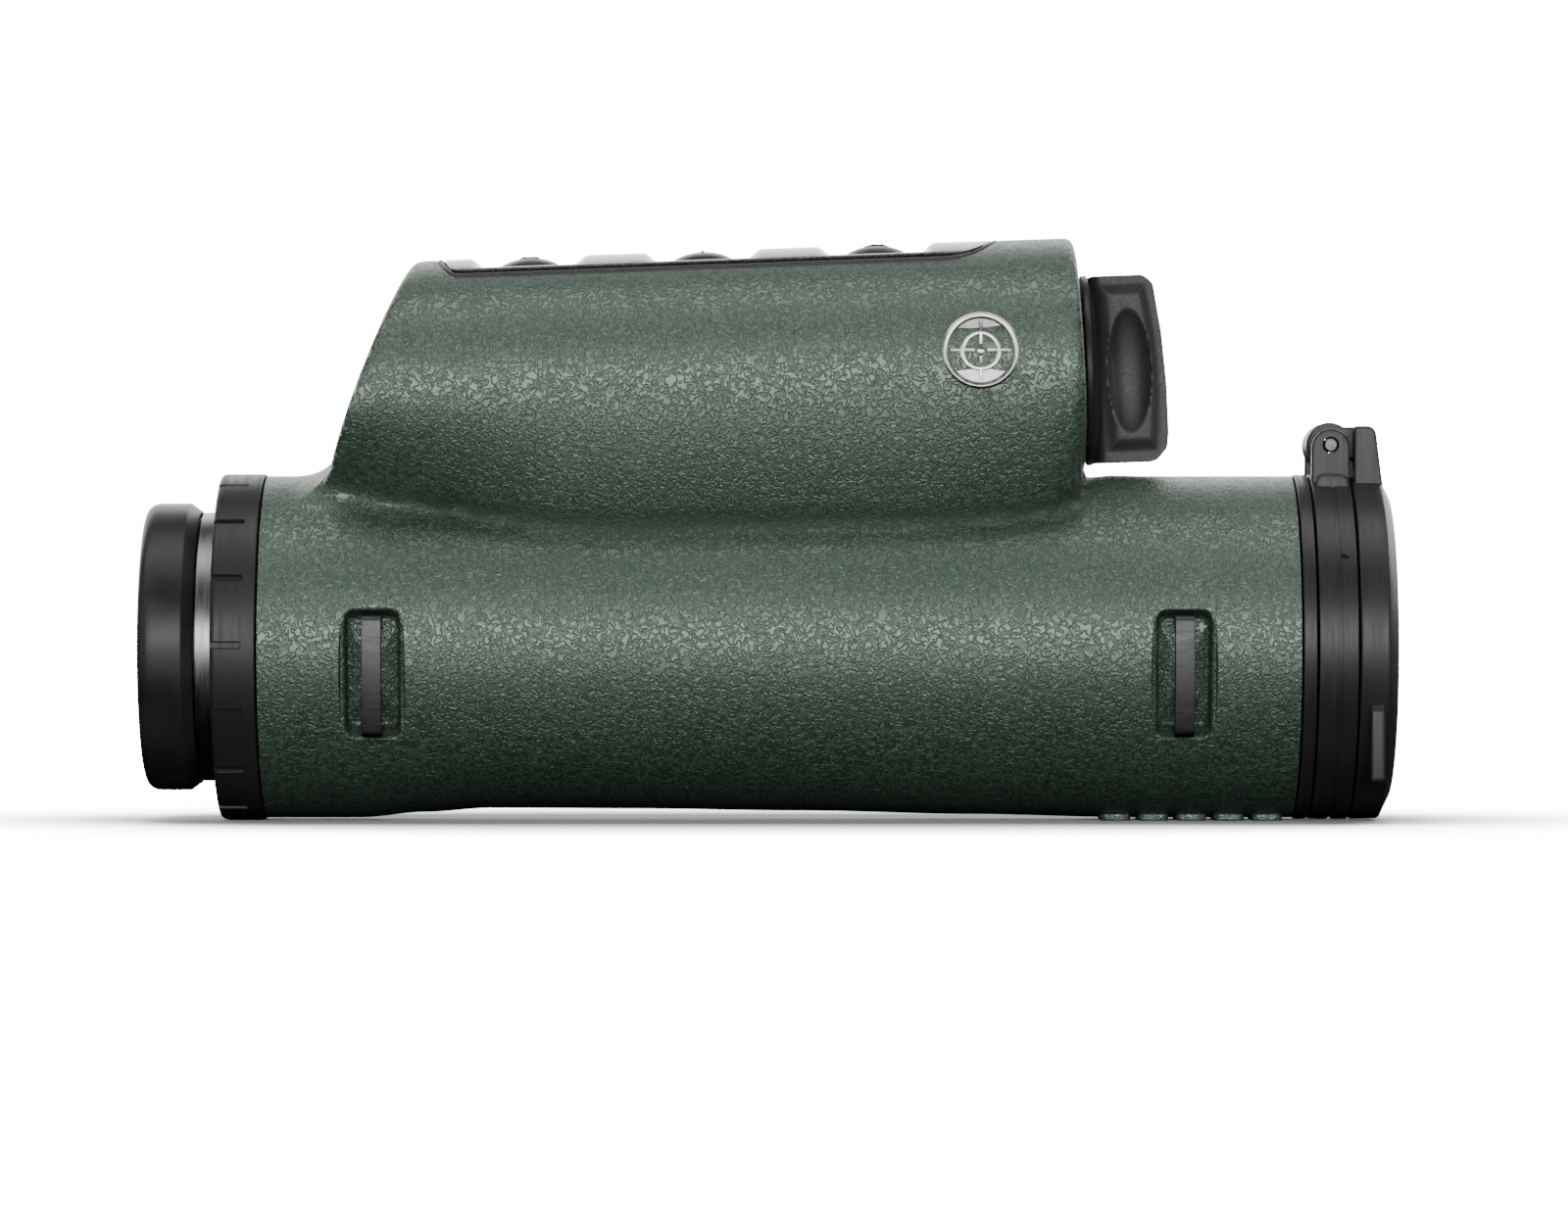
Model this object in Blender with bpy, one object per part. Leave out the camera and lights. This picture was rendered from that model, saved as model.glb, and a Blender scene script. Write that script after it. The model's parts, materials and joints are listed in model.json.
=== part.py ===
"""Handheld rangefinder with one objective, built as separate pieces.

The script works in millimetres and scales to metres when it makes a mesh.
+X points to the objective, -Y is the side with the badge, +Z is up.
The origin is under the middle of the object, on the surface it stands on.
"""
import math

import bmesh
import bpy
from mathutils import Matrix, Vector

MM = 0.001
GAP = 0.3

# Main tube
AXIS_Z = 25.2
TUBE_R = 25.0
TUBE_REAR_X = -72.67
TUBE_FRONT_X = 76.18
ARMOUR_THICK = 2.0
HOUSING_INSET = ARMOUR_THICK + GAP
BORE_R = 18.6
OVERRUN = 9
HOUSING_END_GAP = 0.45
SIDES = 48
GRIP_CREASE_Z = -15.3
GRIP_LIFTS = [(-60, 0.0), (-50, 0.9), (-40, 1.5), (-20, 1.4), (5, 1.1), (30, 0.6), (56, 0.0)]

# Upper module, in its own frame that leans back by a small angle
TILT = math.radians(2.04)
MODULE_TOP = 83.17
LOBE_Z = 63.2
LOBE_HALF = 23.6
LOBE_RISE = MODULE_TOP - LOBE_Z
LOBE_POWER = 2.2
LOBE_POINTS = 36
LOBE_INNER_POINTS = 24
REAR_TOP_X = -51.77
REAR_TOP_Z = 82.04
REAR_SLOPE = 0.4127
FRONT_TOP_X = 44.45
FRONT_SLOPE = 0.016
LOBE_DROP_REAR = [(0.0, 15), (1.7, 15.5), (10.6, 19.5), (18.7, 22.5), (26.7, 27), (35.6, 32.5)]
LOBE_DROP_FRONT = [(26.0, 34), (14.0, 31), (6.0, 28), (2.6, 24), (1.2, 20), (0.4, 16), (0.0, 14)]
LOBE_DROP_MID = 34
REAR_ROUND = 1.6
ROUND_STEPS = [(0.0, 1.0), (0.28, 0.4), (1.0, 0.0)]
PLAIN_STEPS = [(0.0, 0.0)]
FRONT_ROUND = 1.2
CAVITY_INSET = 5.2
CAVITY_FLOOR = 50.8
CAVITY_X = (-70, 60)
CAVITY_HALF = 30
TOP_OPENING_X = (-42, 28)
TOP_OPENING_HALF = 9.5
TOP_OPENING_FOOT = 70

# Control panel
PANEL_HALF = 14.2
PANEL_FRONT_X = 24.9
PANEL_FRONT_BOW = 9.0
PANEL_REAR_X = -44.0
PANEL_REAR_BOW = 4.2
PANEL_DEPTH = 3.4
PANEL_CUT_BELOW = 12
PANEL_CUT_ABOVE = 9
PANEL_BOW_STEPS = 10
SEAL_INSET = 0.25
SEAL_START = 0.3
SEAL_END = 1.0
PANEL_START = 1.3
BUTTON_X = (-34.65, -9.45, 15.75)
BUTTON_NAMES = ("rear", "middle", "front")
SCALLOP_DEPTH = 1.7
SCALLOP_FLOOR_HALF = 6.3
SCALLOP_TOP_HALF = 8.2
SCALLOP_EASE = 0.6
SCALLOP_CORNER = 0.35
BUTTON_R = 5.0
FLANGE_R = 6.2
FLANGE_DROP = (5.07, 4.3)
KEY_DOME = [(5.0, 2.1), (4.5, 1.3), (3.0, 0.5), (1.0, 0.1)]
SWITCH_R = 2.5
SWITCH_HEIGHT = 0.9
BOARD_Z = 74.9
BOARD_THICK = 1.0
BOARD_X = (-41, 25)
BOARD_HALF = 7.5
MAIN_BOARD_LOW = (-44, -12, 51.4)
MAIN_BOARD_HIGH = (36, 12, 52.7)

# Battery and its cap
CAP_Z = 63.8
CAP_X = 45.3
CAP_R = 13.9
CAP_BASE = 1.2
CAP_HOLE_X = (35, 55)
ARMOUR_HOLE_GAP = 0.7
HOUSING_HOLE_GAP = 0.5
WING_HALF = 5.2
WING_REAR = 0.6
WING_TALL = 13.3
WING_FRONT = [(54.6, 13.3), (55.7, 12.2), (56.6, 5.5), (57.2, -3), (57.2, -9.6), (56.7, -12.0),
              (55.4, -13.3)]
DIMPLE_X = 51.9
DIMPLE_SIZE = (3.6, 5.0, 9.6)
DIMPLE_OUT = 3.4
PLUG_REAR = [(39.2, 10.2), (39.8, 11.0), (41.6, 11.0), (41.6, 9.7), (43.4, 9.7), (43.4, 11.0)]
O_RING_X = 42.5
O_RING_R = 10.6
O_RING_THICK = 0.6
CAP_CONTACT_X = (38.2, 38.9)
CAP_CONTACT_R = 3.5
PLUG_R = 11.0
CELL_R = 9.0
CELL_REAR_X = -12.5
CELL_FRONT_X = 37.0
CELL_NUB_R = 3
CELL_NUB_X = 37.9
SLEEVE_R = 10.3
SLEEVE_X = (-17, 38.4)
REAR_CONTACT_X = (-16.6, -15.9)
REAR_CONTACT_R = 8.4
SPRING_TURNS = 2
SPRING_STEPS = 10
SPRING_WIRE = 0.35
SPRING_REAR_X = -15.2
SPRING_LONG = 2.0
SPRING_R = (5.0, 4.0)

# Optics and electronics inside the tube
LASER_X = (10, 24)
LASER_R = 3.6
RECEIVER_X = (10, 20)
RECEIVER_R = 4.2
MODULE_OFFSET = 12.5
SPLITTER_X = (-8, 7)
SPLITTER_HALF = 7.5
PRISM = [(-46, -9), (-30, -9), (-22, -2), (-22, 10), (-40, 10), (-46, 4)]
PRISM_HALF = 9
PRISM_X = -34
DISPLAY_LOW = (-56, -8, 11.2)
DISPLAY_HIGH = (-48, 8, 14.6)
LENS_SHARES = (0.3, 0.7, 1.0)

# Eyepiece
EYECUP_REAR_X = -90.27
EYECUP_FRONT_X = -82.3
EYECUP_R = 20.93
BARREL_R = 19.6
BARREL_STEP_X = -82.0
STEM_R = 17.2
STEM_REAR_X = -88.2
EYE_BORE_R = 15.7
BARREL_INNER_R = 18.2
BARREL_END_X = -60
GUIDE_R = 18.9
GUIDE_INSET = 1.7
EYECUP_BEND = 2.4
EYECUP_SLOPE_X = -83.87
EYECUP_LIP = 1.4
EYECUP_MOUTH_R = 16.2
EYE_LENS_X = (-83.3, -81.5)
FIELD_LENS_X = (-69, -67.5)
EYE_RETAINER_X = (-84.6, -83.7)
EYE_RETAINER_R = 13.9
DIOPTER_R = 25.2
DIOPTER_REAR_X = -79.4
DIOPTER_FRONT_X = TUBE_REAR_X - GAP
DIOPTER_INNER_R = 20
DIOPTER_RIM = [(0.0, 0.7), (0.3, 0.2), (0.9, 0.0)]
DIOPTER_EDGE = 0.2
NOTCHES = 16
NOTCH_PHASE = -0.8
NOTCH_LENGTH = 4.6
NOTCH_WIDTH = 0.9
NOTCH_DEPTH = 0.5
NOTCH_TIP = (0.45, 0.4)

# Objective end, clamp ring and lid
RING_R = 25.1
MOUTH_R = 17.6
BEZEL_X = (TUBE_FRONT_X + GAP, 78.4)
CLAMP_X = (78.7, 84.3)
LID_REAR_X = 84.6
LID_FRONT_X = 90.27
LID_FLAT_R = 21.7
LID_CAVITY_R = 21.6
LID_FLOOR_X = 88.2
LID_EDGE = 0.4
LID_RIM = [(88.6, 0.1), (88.95, 0.45)]
LID_FACE_BEVEL = (0.2, 0.6)
TOWER = [(84.95, 22.5), (89.1, 22.5), (88.3, 30.9), (87.6, 31.6), (86.6, 31.9), (84.95, 31.9)]
ARM_LOW = 2.2
ARM_TOP = AXIS_Z + 31.9
ARM_END_X = 86
SEAL_X = (0.3, 1.6)
LID_SEAL_WIDE = 2.2
LID_SEAL_GAP = 0.4
TAB = [(18.0, -18.6), (24.4, -19.4), (24.4, -9.4), (23.2, -6.6), (20.5, -6.6)]
TAB_X = (86.0, 88.0)
PIN_X = 81.56
PIN_Z = AXIS_Z + 29.25
PIN_R = 0.95
PIN_HOLE_R = PIN_R + GAP
EAR_Y = (5.5, 8.0)
EAR_R = 2.75
KNUCKLE_R = 3.3
KNUCKLE_HALF = 5.2
TOWER_HALF = 8.0
PIN_HOLE_HALF = 12
PIN_LONG = 0.15
EAR_DROP = 0.4
EAR_FOOT = 22
EAR_SET_BACK = 0.1
CELL_RING_R = 18.2
LENS_R = 16.1
OBJECTIVE_CELL_X = (40, 75.4)
OBJECTIVE_LENS_X = (61, 64.5)
FOCUS_LENS_X = (46, 48.5)
RETAINER_X = (64.9, 66.6)
RETAINER_R = 14.6

# Strap lugs and their pockets
LUG_X = (-56.3, 59.5)
LUG_TOP = 4.55
LUG_BOTTOM = -12.75
LUG_WIDTH = 2.8
LUG_BAR = 1.6
LUG_OUT = 26.2
LUG_BOW = 84.0
LUG_STEPS = 6
POCKET_HALF = 3.9
POCKET_MARGIN = 0.85
POCKET_R = 21.4
POCKET_WALL = 0.8
POCKET_REACH = (14, 32)
POCKET_RIM = 1
FOOT_IN_TOP = 19.6
FOOT_IN_BOTTOM = 16.2

# Foot ribs and badge
FOOT_X = (50.5, 56.0, 61.5, 67.0, 72.5)
FOOT_SIZE = (4.4, 12.0)
FOOT_HEIGHT = 1.2
BADGE_X = 30.5
BADGE_Z = 67.6
BADGE_R = 5.6
BADGE_LEAN = 9.0
BADGE_OUT = 0.5
BADGE_THICK = 1.0
BADGE_BED = 0.1
BADGE_SEAT = 0.2
BADGE_UP = 1.1
BADGE_SIDES = 28
RECESS_OUT = 5


def clear_scene():
    for item in list(bpy.data.objects):
        bpy.data.objects.remove(item, do_unlink=True)


def material(name, color, roughness, metallic=0.0):
    made = bpy.data.materials.new(name)
    made.use_nodes = True
    shader = made.node_tree.nodes["Principled BSDF"]
    shader.inputs["Base Color"].default_value = (*color, 1.0)
    shader.inputs["Roughness"].default_value = roughness
    shader.inputs["Metallic"].default_value = metallic
    return made


def make(name, rings, closed, finish, origin=(0, 0, 0), parent=None):
    """Join rings of points with quads; a closed run is a torus, an open one gets end caps."""
    count = len(rings[0])
    mesh = bmesh.new()
    verts = [[mesh.verts.new((Vector(p) - Vector(origin)) * MM) for p in ring] for ring in rings]
    pairs = len(rings) if closed else len(rings) - 1
    for i in range(pairs):
        near, far = verts[i], verts[(i + 1) % len(rings)]
        for k in range(count):
            n = (k + 1) % count
            mesh.faces.new((near[k], near[n], far[n], far[k]))
    if not closed:
        mesh.faces.new(verts[0])
        mesh.faces.new(verts[-1])
    bmesh.ops.recalc_face_normals(mesh, faces=mesh.faces)
    data = bpy.data.meshes.new(name)
    mesh.to_mesh(data)
    mesh.free()
    data.shade_smooth()
    data.set_sharp_from_angle(angle=math.radians(32))
    made = bpy.data.objects.new(name, data)
    bpy.context.collection.objects.link(made)
    made.location = Vector(origin) * MM
    made.data.materials.append(finish)
    if parent:
        made.parent = parent
        made.location.z -= MODULE_TOP * MM
    return made


def combine(target, tool, operation="DIFFERENCE"):
    """Cut, join or intersect the target with a tool shape, then drop the tool."""
    bpy.context.view_layer.update()
    step = target.modifiers.new(operation.lower(), "BOOLEAN")
    step.operation = operation
    step.solver = "EXACT"
    step.object = tool
    graph = bpy.context.evaluated_depsgraph_get()
    result = bpy.data.meshes.new_from_object(target.evaluated_get(graph))
    target.modifiers.clear()
    target.data = result
    target.data.shade_smooth()
    target.data.set_sharp_from_angle(angle=math.radians(32))
    bpy.data.objects.remove(tool, do_unlink=True)
    return target


def turned_x(name, profile, closed, finish, z=AXIS_Z, sides=SIDES, parent=None, origin=None):
    """Turn a profile of (x, radius) round a line along X at height z; a facet faces down."""
    start = math.pi / sides
    turns = [start + 2 * math.pi * k / sides for k in range(sides)]
    rings = [[(x, r * math.cos(a), z + r * math.sin(a)) for a in turns] for x, r in profile]
    return make(name, rings, closed, finish, origin or (0, 0, z), parent)


def turned_z(name, profile, x, finish, sides=32, parent=None):
    """Turn a profile of (radius, height) round an upright line at x, with end caps."""
    turns = [2 * math.pi * k / sides for k in range(sides)]
    rings = [[(x + r * math.cos(a), r * math.sin(a), z) for a in turns] for r, z in profile]
    return make(name, rings, False, finish, (x, 0, profile[0][1]), parent)


def ring_x(name, x0, x1, inner, outer, finish, z=AXIS_Z, sides=SIDES, parent=None, origin=None):
    profile = [(x0, inner), (x0, outer), (x1, outer), (x1, inner)]
    return turned_x(name, profile, True, finish, z, sides, parent, origin)


def rod_x(name, x0, x1, radius, finish, z=AXIS_Z, sides=SIDES, parent=None):
    return turned_x(name, [(x0, radius), (x1, radius)], False, finish, z, sides, parent)


def rod_y(name, half, radius, finish, x=PIN_X, z=PIN_Z, sides=24):
    turns = [2 * math.pi * k / sides for k in range(sides)]
    rings = [[(x + radius * math.cos(a), y, z + radius * math.sin(a)) for a in turns]
             for y in (-half, half)]
    return make(name, rings, False, finish, (x, 0, z))


def slab_y(name, outline, y0, y1, finish, parent=None, origin=(0, 0, 0)):
    """Push an outline of (x, z) points from y0 to y1."""
    rings = [[(x, y, z) for x, z in outline] for y in (y0, y1)]
    return make(name, rings, False, finish, origin, parent)


def slab_x(name, outline, x0, x1, finish, parent=None, origin=(0, 0, 0)):
    """Push an outline of (y, z) points from x0 to x1."""
    rings = [[(x, y, z) for y, z in outline] for x in (x0, x1)]
    return make(name, rings, False, finish, origin, parent)


def block(name, low, high, finish, parent=None):
    outline = [(low[1], low[2]), (high[1], low[2]), (high[1], high[2]), (low[1], high[2])]
    return slab_x(name, outline, low[0], high[0], finish, parent)


def blend(table, at):
    """Read a value from a list of (place, value) pairs with soft steps between them."""
    if at <= table[0][0]:
        return table[0][1]
    for (a, low), (b, high) in zip(table, table[1:]):
        if at <= b:
            part = (at - a) / (b - a)
            part = part * part * (3 - 2 * part)
            return low + (high - low) * part
    return table[-1][1]


def tube_ring(x, radius):
    """One section of the tube; its underside is flattened and lifted along the grip."""
    lift = blend(GRIP_LIFTS, x)
    half = math.sqrt(radius ** 2 - GRIP_CREASE_Z ** 2)
    sag = radius - lift + GRIP_CREASE_Z
    wide = (half ** 2 + sag ** 2) / (2 * sag)
    ring = []
    for k in range(SIDES):
        angle = math.pi / SIDES + 2 * math.pi * k / SIDES
        y, z = radius * math.cos(angle), radius * math.sin(angle)
        if z < GRIP_CREASE_Z and lift > 0:
            z = lift - radius + wide - math.sqrt(wide ** 2 - y ** 2)
        ring.append((x, y, AXIS_Z + z))
    return ring


def tube_skin(finish):
    places = [TUBE_REAR_X, -60, -54, -47, -40, -20, 5, 30, 56, TUBE_FRONT_X]
    return make("armour", [tube_ring(x, TUBE_R) for x in places], False, finish)


def rear_x(z, inset=0.0):
    return REAR_TOP_X - REAR_SLOPE * (REAR_TOP_Z - z) + inset * math.hypot(1, REAR_SLOPE)


def front_x(z, inset=0.0):
    return FRONT_TOP_X + FRONT_SLOPE * (MODULE_TOP - z) - inset


def lobe_ring(place, drop, shrink, inset, count):
    """One section of the upper body; place maps a height to the section's x there."""
    half, rise, fall = (size - inset - shrink for size in (LOBE_HALF, LOBE_RISE, drop))
    ring = []
    for k in range(count):
        angle = 2 * math.pi * (k + 0.5) / count
        c, s = math.cos(angle), math.sin(angle)
        power = 2 / LOBE_POWER if s > 0 else 1.0
        y = half * math.copysign(abs(c) ** power, c)
        z = LOBE_Z + (rise if s > 0 else fall) * math.copysign(abs(s) ** power, s)
        ring.append((place(z), y, z))
    return ring


def lobe(name, inset, finish, frame, rounded=True):
    """The upper body as one solid; the inset gives its inner skins."""
    rings = []
    count = LOBE_POINTS if rounded else LOBE_INNER_POINTS
    every = 1 if rounded else 2
    steps = ROUND_STEPS if rounded else PLAIN_STEPS
    for step, shrink in steps:
        away = step * REAR_ROUND
        rings.append(lobe_ring(lambda z, a=away: rear_x(z, inset) + a,
                               blend(LOBE_DROP_REAR, away), shrink * REAR_ROUND, inset, count))
    for away, drop in LOBE_DROP_REAR[2::every] + [(45.0, LOBE_DROP_MID)]:
        rings.append(lobe_ring(lambda z, a=away: rear_x(z, inset) + a, drop, 0, inset, count))
    for away, drop in LOBE_DROP_FRONT[:4:every]:
        rings.append(lobe_ring(lambda z, a=away: front_x(z, inset) - a, drop, 0, inset, count))
    for step, shrink in reversed(steps):
        away = step * FRONT_ROUND
        rings.append(lobe_ring(lambda z, a=away: front_x(z, inset) - a,
                               blend(LOBE_DROP_FRONT[::-1], away), shrink * FRONT_ROUND, inset, count))
    return make(name, rings, False, finish, (0, 0, MODULE_TOP), frame)


def panel_prism(inset, frame, finish):
    """The panel's plan shape, a long rectangle with bowed ends, pushed up through the top."""
    half = PANEL_HALF - inset
    outline = []
    for end, reach in ((PANEL_FRONT_X, PANEL_FRONT_BOW - inset), (PANEL_REAR_X, inset - PANEL_REAR_BOW)):
        steps = [math.pi / 2 - math.pi * k / PANEL_BOW_STEPS for k in range(PANEL_BOW_STEPS + 1)]
        bow = [(math.copysign(abs(math.sin(a)) ** (2 / LOBE_POWER), math.sin(a)),
                abs(math.cos(a)) ** (2 / LOBE_POWER)) for a in steps]
        turn = 1 if reach > 0 else -1
        outline += [(end + reach * c, turn * half * s) for s, c in bow]
    rings = [[(x, y, z) for x, y in outline]
             for z in (MODULE_TOP - PANEL_CUT_BELOW, MODULE_TOP + PANEL_CUT_ABOVE)]
    return make("prism", rings, False, finish, (0, 0, MODULE_TOP), frame)


def pocket_tool(side, x, grow, radius, finish):
    """The space of one lug pocket outside a given tube radius."""
    low, high = LUG_BOTTOM - POCKET_MARGIN - grow, LUG_TOP + POCKET_MARGIN + grow
    near, far = sorted(side * reach for reach in POCKET_REACH)
    half = POCKET_HALF + grow
    tool = block("pocket", (x - half, near, AXIS_Z + low), (x + half, far, AXIS_Z + high), finish)
    return combine(tool, rod_x("core", x - OVERRUN, x + OVERRUN, radius, finish))


def lug_outline(side, grow=0.0):
    """A bar that follows the tube, with both ends bent in, seen along the tube."""
    top, low = LUG_TOP + grow, LUG_BOTTOM - grow
    bar = LUG_BAR + 2 * grow
    out = LUG_OUT + grow

    def row(level):
        return out - level * level / LUG_BOW

    outer = [low + 1 + (top - low - 2) * k / LUG_STEPS for k in range(LUG_STEPS, -1, -1)]
    inner = [low + bar + (top - low - 2 * bar) * k / LUG_STEPS for k in range(LUG_STEPS + 1)]
    points = [(FOOT_IN_TOP - grow, top), (row(top) - 1, top)] + [(row(w), w) for w in outer]
    points += [(row(low) - 1, low), (FOOT_IN_BOTTOM - grow, low), (FOOT_IN_BOTTOM - grow, low + bar)]
    points += [(row(w) - bar, w) for w in inner] + [(FOOT_IN_TOP - grow, top - bar)]
    return [(side * y, AXIS_Z + w) for y, w in points]


def lug(name, side, x, grow, finish):
    half = LUG_WIDTH / 2 + grow
    return slab_x(name, lug_outline(side, grow), x - half, x + half, finish)


def badge_disc(name, radius, start, end, finish):
    """A round plate lying on the upper body's side, leaning back with the surface there."""
    lean = math.radians(BADGE_LEAN)
    out = Vector((0, -math.cos(lean), math.sin(lean)))
    up = Vector((0, math.sin(lean), math.cos(lean)))
    above = (BADGE_Z + BADGE_UP - LOBE_Z) / LOBE_RISE
    surface = LOBE_HALF * (1 - above ** LOBE_POWER) ** (1 / LOBE_POWER)
    centre = Vector((BADGE_X, -surface, BADGE_Z))
    rings = []
    for height in (start, end):
        rings.append([])
        for k in range(BADGE_SIDES):
            angle = 2 * math.pi * k / BADGE_SIDES
            side = Vector((1, 0, 0)) * math.cos(angle) + up * math.sin(angle)
            rings[-1].append(centre + out * height + side * radius)
    return make(name, rings, False, finish, centre)


def build_armour(frame, rubber):
    skin = tube_skin(rubber)
    combine(skin, lobe("upper", 0, rubber, frame), "UNION")
    combine(skin, rod_x("inner", TUBE_REAR_X - OVERRUN, TUBE_FRONT_X + OVERRUN,
                        TUBE_R - ARMOUR_THICK, rubber))
    combine(skin, lobe("inner_upper", ARMOUR_THICK, rubber, frame, False))
    combine(skin, panel_prism(0, frame, rubber))
    combine(skin, rod_x("cap_hole", *CAP_HOLE_X, PLUG_R + ARMOUR_HOLE_GAP, rubber, CAP_Z, 32, frame))
    for side in (-1, 1):
        for x in LUG_X:
            cup = pocket_tool(side, x, POCKET_WALL, POCKET_R - POCKET_WALL, rubber)
            combine(cup, rod_x("rim", x - OVERRUN, x + OVERRUN, TUBE_R - POCKET_RIM, rubber), "INTERSECT")
            combine(skin, cup, "UNION")
            combine(skin, pocket_tool(side, x, 0, POCKET_R, rubber))
            combine(skin, lug("feet", side, x, GAP, rubber))
    combine(skin, badge_disc("recess", BADGE_R + GAP, -BADGE_THICK - BADGE_BED, RECESS_OUT, rubber))
    for x in FOOT_X:
        long, wide = FOOT_SIZE
        low, high = (x - long / 2, -wide / 2, 0), (x + long / 2, wide / 2, FOOT_HEIGHT)
        combine(skin, block("foot", low, high, rubber), "UNION")
    return skin


def build_housing(frame, metal):
    body = rod_x("main_housing", TUBE_REAR_X + HOUSING_END_GAP, TUBE_FRONT_X - HOUSING_END_GAP,
                 TUBE_R - HOUSING_INSET, metal)
    combine(body, lobe("upper", HOUSING_INSET + GAP, metal, frame, False), "UNION")
    combine(body, rod_x("bore", TUBE_REAR_X - OVERRUN, TUBE_FRONT_X + OVERRUN, BORE_R, metal))
    ledge = panel_prism(0, frame, metal)
    combine(ledge, lobe("under_panel", PANEL_DEPTH + GAP, metal, frame, False))
    combine(body, ledge)
    cavity = lobe("cavity", CAVITY_INSET, metal, frame, False)
    keep = block("keep", (CAVITY_X[0], -CAVITY_HALF, CAVITY_FLOOR), (CAVITY_X[1], CAVITY_HALF, MODULE_TOP),
                 metal, frame)
    combine(cavity, keep, "INTERSECT")
    combine(body, cavity)
    low = (TOP_OPENING_X[0], -TOP_OPENING_HALF, TOP_OPENING_FOOT)
    high = (TOP_OPENING_X[1], TOP_OPENING_HALF, MODULE_TOP + OVERRUN)
    combine(body, block("top_opening", low, high, metal, frame))
    combine(body, rod_x("cap_hole", *CAP_HOLE_X, PLUG_R + HOUSING_HOLE_GAP, metal, CAP_Z, 32, frame))
    for side in (-1, 1):
        for x in LUG_X:
            grow = POCKET_WALL + GAP
            combine(body, pocket_tool(side, x, grow, POCKET_R - grow, metal))
            combine(body, lug("feet", side, x, GAP, metal))
    return body


def scallop(x, frame, finish):
    floor = MODULE_TOP - SCALLOP_DEPTH
    rise = SCALLOP_TOP_HALF - SCALLOP_FLOOR_HALF
    outline = [(x - SCALLOP_TOP_HALF - rise, MODULE_TOP + SCALLOP_DEPTH),
               (x - SCALLOP_FLOOR_HALF - SCALLOP_EASE, floor + SCALLOP_CORNER),
               (x - SCALLOP_FLOOR_HALF + SCALLOP_EASE, floor),
               (x + SCALLOP_FLOOR_HALF - SCALLOP_EASE, floor),
               (x + SCALLOP_FLOOR_HALF + SCALLOP_EASE, floor + SCALLOP_CORNER),
               (x + SCALLOP_TOP_HALF + rise, MODULE_TOP + SCALLOP_DEPTH)]
    return slab_y("scallop", outline, -CAVITY_HALF, CAVITY_HALF, finish, frame, (0, 0, MODULE_TOP))


def build_panel(frame, plastic, soft):
    panel = lobe("control_panel", 0, plastic, frame)
    combine(panel, panel_prism(PANEL_START, frame, plastic), "INTERSECT")
    combine(panel, lobe("under", PANEL_DEPTH, plastic, frame, False))
    for x in BUTTON_X:
        combine(panel, scallop(x, frame, plastic))
        hole = [(BUTTON_R + GAP, MODULE_TOP - OVERRUN), (BUTTON_R + GAP, MODULE_TOP + OVERRUN)]
        combine(panel, turned_z("hole", hole, x, plastic, 32, frame))
    seal = lobe("panel_seal", SEAL_INSET, soft, frame, False)
    combine(seal, panel_prism(SEAL_START, frame, soft), "INTERSECT")
    combine(seal, panel_prism(SEAL_END, frame, soft))
    combine(seal, lobe("under", PANEL_DEPTH - 1, soft, frame, False))


def build_buttons(frame, soft, board, metal):
    steps = [(FLANGE_R, FLANGE_DROP[0]), (FLANGE_R, FLANGE_DROP[1]), (BUTTON_R, FLANGE_DROP[1])]
    profile = [(r, MODULE_TOP - drop) for r, drop in steps + KEY_DOME]
    for x, place in zip(BUTTON_X, BUTTON_NAMES):
        turned_z("button_" + place, profile, x, soft, 24, frame)
        low = BOARD_Z + BOARD_THICK + GAP
        turned_z("switch_" + place, [(SWITCH_R, low), (SWITCH_R, low + SWITCH_HEIGHT)], x, metal, 16, frame)
    low, high = (BOARD_X[0], -BOARD_HALF, BOARD_Z), (BOARD_X[1], BOARD_HALF, BOARD_Z + BOARD_THICK)
    block("button_board", low, high, board, frame)


def wing_outline():
    """Side view of the cap's grip: straight at the base, bowed along its front edge."""
    rear = CAP_X + WING_REAR
    front = [(x, CAP_Z + w) for x, w in WING_FRONT]
    return [(rear, CAP_Z + WING_TALL)] + front + [(rear, CAP_Z - WING_TALL)]


def build_battery(frame, plastic, rubber, metal, brass, sleeve_finish, cell_finish):
    cap = rod_x("battery_cap", CAP_X, CAP_X + CAP_BASE, CAP_R, plastic, CAP_Z, 40, frame)
    wing = slab_y("wing", wing_outline(), -WING_HALF, WING_HALF, plastic, frame, (0, 0, CAP_Z))
    combine(cap, wing, "UNION")
    for side in (-1, 1):
        dimple = dimple_tool(side * (WING_HALF + DIMPLE_OUT), plastic, frame)
        combine(cap, dimple)
    turned_x("cap_plug", PLUG_REAR + [(CAP_X - GAP, PLUG_R)], False, metal, CAP_Z, 32, frame)
    ring = [(O_RING_X + O_RING_THICK * math.cos(a), O_RING_R + O_RING_THICK * math.sin(a))
            for a in (2 * math.pi * k / 6 for k in range(6))]
    turned_x("cap_o_ring", ring, True, rubber, CAP_Z, 24, frame)
    rod_x("cap_contact", *CAP_CONTACT_X, CAP_CONTACT_R, brass, CAP_Z, 16, frame)
    nub = [(CELL_REAR_X, CELL_R), (CELL_FRONT_X, CELL_R), (CELL_FRONT_X, CELL_NUB_R),
           (CELL_NUB_X, CELL_NUB_R)]
    turned_x("battery_cell", nub, False, cell_finish, CAP_Z, 32, frame)
    ring_x("battery_sleeve", *SLEEVE_X, CELL_R + GAP, SLEEVE_R, sleeve_finish, CAP_Z, 32, frame)
    rod_x("rear_contact", *REAR_CONTACT_X, REAR_CONTACT_R, brass, CAP_Z, 24, frame)
    coil_spring(frame, metal)


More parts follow.
